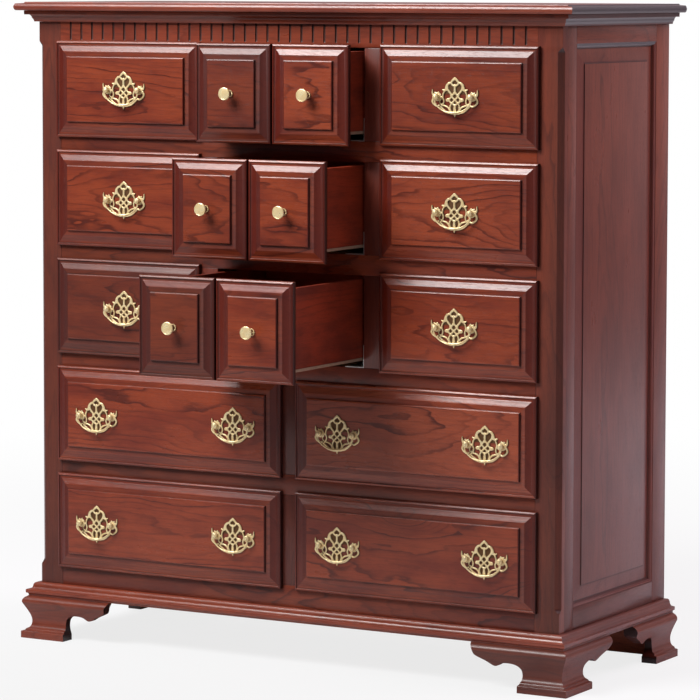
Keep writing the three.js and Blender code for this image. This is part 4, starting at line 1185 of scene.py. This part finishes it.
def rosetteShell(side):
    # a domed disc with a ring and eight petals: h = dome + petal cos(8 t) bump(r)
    r = np.array([8.6, 8.6, 8.2, 7.6, 7.0, 6.4, 5.8, 5.2, 4.7, 4.4])
    h = np.array([0.0, 1.5, 2.2, 2.4, 2.1, 2.4, 3.0, 3.2, 3.0, 2.8])
    t = np.linspace(0, 2 * math.pi, 48, endpoint=False)
    bump = np.array([0, 0.25, 0.35, 0.2, 0.1, 0.3, 0.35, 0.25, 0.1, 0])
    radius = r[:, None] * (1 + 0.04 * bump[:, None] * np.cos(8 * t))
    height = h[:, None] + bump[:, None] * np.cos(8 * t)
    rings = np.stack([side * pull["rosette"] + radius * np.cos(t), -height, radius * np.sin(t)], -1)
    # painted shade at its rim on the plate, in the groove of its ring and round its middle
    return loftShell(rings, tint=[-0.9, -0.4, 0, -0.1, -0.7, -0.3, 0, 0, -0.5, -0.9])


post = {
    "profile": [
        (0.01, 1.5), (4.4, 1.5), (4.5, 4.6), (3.7, 5.4), (3.5, 6.3), (4.3, 7.0), (5.7, 8.2), (6.1, 9.4),
        (5.9, 10.0), (5.95, 10.6), (6.3, 11.4), (6.1, 12.6), (5.2, 13.9), (3.9, 14.7), (3.3, 14.6),
        (2.6, 15.1), (0.01, 15.5),
    ],
    # painted shade in the post's narrow neck and grooves
    "tint": {4.6: -0.5, 5.4: -0.9, 6.3: -0.9, 7.0: -0.6, 10.0: -0.7, 14.6: -0.7},
}
bail = {
    "path": [(38.6, 0), (39.9, -3.6), (40.2, -7), (39.0, -11.5), (35.8, -16.4), (30.6, -21.2), (23.2, -25.9),
             (12.2, -29.6), (0, -30.8)],
    "pin": [(0.01, -6.6), (1.3, -6.4), (1.45, -5.8), (1.45, 1.2), (2.6, 1.6), (2.9, 2.4), (2.5, 3.2),
            (1.2, 3.6), (0.01, 3.7)],
    "pinAt": 40.2,
}


def bailShells():
    # a rod through a smooth line mirrored about the middle, its radius
    # 1.55 + 1.6 exp(-(x/12)^2) + 0.4 exp(-((|x| - 14.5)/1.5)^2)
    half = smoothLine(bail["path"], 7)
    line = np.vstack([half, half[-2::-1] * [-1, 1]])
    x = line[:, 0]
    radius = 1.55 + 1.6 * np.exp(-(x / 12) ** 2) + 0.4 * np.exp(-((np.abs(x) - 14.5) / 1.5) ** 2)
    # its middle stands 1.5 exp(-(x/14)^2) forward, which clears the plate when the bail is pushed in
    path = np.stack([x, -1.5 * np.exp(-(x / 14) ** 2), line[:, 1]], -1)
    pins = [latheShell(bail["pin"], (s * bail["pinAt"], 0, 0), (s, 0, 0), 16) for s in (-1, 1)]
    return [tubeShell(path, radius, 14)] + pins


def moved(shell, x, y, z):
    return {**shell, "points": shell["points"] + [x, y, z]}


backplate = [moved(plateShell(), 0, -pull["stand"], 0), plateShadowSheet()] + [rosetteShell(s) for s in (-1, 1)]
for s in (-1, 1):
    backplate.append(latheShell(post["profile"], (s * pull["post"], 0, 0), (0, -1, 0), 24, post["tint"]))
for drawer in drawers:
    if drawer["place"] == "centre":
        continue
    centre, height = (drawer["x0"] + drawer["x1"]) / 2, (drawer["z0"] + drawer["z1"]) / 2
    offsets = {"": 0} if drawer["row"] < 3 else {"_a": -pull["fromMiddle"], "_b": pull["fromMiddle"]}
    for tag, offset in offsets.items():
        x, name = centre + offset, drawer["name"] + tag
        parts = [moved(p, x, pull["face"], height) for p in backplate]
        putMesh(f"plate_{name}", parts, brass, f"drawer_{drawer['name']}", (), crisp=50)
        parts = [moved(p, x, -pull["pivot"], height) for p in bailShells()]
        putMesh(f"bail_{name}_rod", parts, brass, f"bail_{name}", [f"bail_{name}"], crisp=40)
print("stage: pulls ready")


# Floor, lamps, world and camera
floorMaterial, tree = newMaterial("paleFloor")
place = addNode(tree, "TexCoord").outputs["Object"]
reach = addNode(tree, "VectorMath", {0: place}, operation="LENGTH").outputs[1]
speck = addNode(tree, "TexNoise", {"Vector": place, "Scale": 3.0, "Detail": 4.0}).outputs["Fac"]
backwards = ramp(tree, addNode(tree, "SeparateXYZ", {0: place}).outputs["Y"], -1.2, 0.6)
near = mixColour(tree, speck, (0.43, 0.43, 0.43), (0.45, 0.45, 0.448))
away = mixColour(tree, speck, (0.84, 0.85, 0.87), (0.87, 0.88, 0.9))
tone = mixColour(tree, backwards, near, away)
diffuse = addNode(tree, "BsdfPrincipled", {"Base Color": tone, "Roughness": 0.9, "Specular IOR Level": 0.1})
glow = addNode(tree, "Emission", {"Color": (1, 1, 1, 1), "Strength": 1.0})
rays = addNode(tree, "LightPath").outputs
seen = maths(tree, "MULTIPLY", rays["Is Camera Ray"], ramp(tree, reach, 0.6, 4.0, 0.8, 1.0))
mixed = addNode(tree, "MixShader", {0: seen, 1: diffuse.outputs[0], 2: glow.outputs[0]})
finishMaterial(tree, mixed)
size = 40.0
floorMesh = bpy.data.meshes.new("floor")
corners = [(-size, -size, 0), (size, -size, 0), (size, size, 0), (-size, size, 0)]
floorMesh.from_pydata(corners, [], [(0, 1, 2, 3)])
floorMesh.materials.append(floorMaterial)
floor = bpy.data.objects.new("floor", floorMesh)
bpy.context.scene.collection.objects.link(floor)

studio = {
    "key": {"at": (-1.35, -2.5, 3.5), "aim": (0.0, 0.0, 0.9), "size": (2.1, 1.6), "power": 190,
            "colour": (1.0, 1.0, 1.0)},
    "rear": {"at": (2.6, 1.6, 3.2), "aim": (2.2, 1.2, 0.0), "size": (2.6, 2.6), "power": 90,
             "colour": (1.0, 0.84, 0.94)},
}
for name, lamp in studio.items():
    data = bpy.data.lights.new(name, "AREA")
    data.shape = "RECTANGLE"
    data.size, data.size_y = lamp["size"]
    data.energy, data.color = lamp["power"], lamp["colour"]
    light = bpy.data.objects.new(name, data)
    light.location = lamp["at"]
    light.rotation_euler = (Vector(lamp["aim"]) - Vector(lamp["at"])).to_track_quat("-Z", "Y").to_euler()
    bpy.context.scene.collection.objects.link(light)

studioTint = (1.0, 0.91, 0.98)
world = bpy.data.worlds.new("studio")
bpy.context.scene.world = world
world.use_nodes = True
tree = world.node_tree
tree.nodes.clear()
direction = addNode(tree, "TexCoord").outputs["Generated"]
split = addNode(tree, "SeparateXYZ", {0: direction}).outputs
rays = addNode(tree, "LightPath").outputs
behind, above = ramp(tree, split["Y"], -0.15, 0.25, 0.05, 0.3), ramp(tree, split["Z"], 0.3, 1.0, 0.0, 0.12)
level = maths(tree, "ADD", behind, above)
level = maths(tree, "MULTIPLY", level, ramp(tree, split["X"], -0.98, -0.4, 0.12, 1.0))
level = addNode(tree, "Mix", {0: rays["Is Camera Ray"], 2: level, 3: 1.0}, data_type="FLOAT").outputs[0]
colour = mixColour(tree, rays["Is Camera Ray"], studioTint, (1, 1, 1))
background = addNode(tree, "Background", {"Color": colour, "Strength": level})
output = tree.nodes.new("ShaderNodeOutputWorld")
tree.links.new(background.outputs[0], output.inputs["Surface"])

view = {
    "turn": 29.90828, "tilt": 4.53922, "roll": 0.12686, "at": (3698.10, -6186.65, 1383.03),
    "focal": 3592.996, "pixels": 700, "sensor": 36, "shift": -0.12,
}
a, e, r = (math.radians(view[k]) for k in ("turn", "tilt", "roll"))
ahead = Vector((-math.sin(a) * math.cos(e), math.cos(a) * math.cos(e), -math.sin(e)))
right = Vector((math.cos(a), math.sin(a), 0))
up = right.cross(ahead)
across = right * math.cos(r) + up * math.sin(r)
upright = up * math.cos(r) - right * math.sin(r)
cameraData = bpy.data.cameras.new("camera")
cameraData.sensor_width = view["sensor"]
cameraData.lens = view["focal"] * view["sensor"] / view["pixels"]
cameraData.shift_y = view["shift"]
cameraData.clip_end = 200
camera = bpy.data.objects.new("camera", cameraData)
turned = Matrix((across, upright, -ahead)).transposed().to_4x4()
at = view["at"]
camera.matrix_world = Matrix.Translation(Vector((at[0], at[1] + chest["faceY"], at[2])) / 1000) @ turned
bpy.context.scene.collection.objects.link(camera)
bpy.context.scene.camera = camera
bpy.context.scene.view_settings.view_transform = "Standard"
print("stage: floor, lamps and camera ready")

bpy.context.view_layer.update()
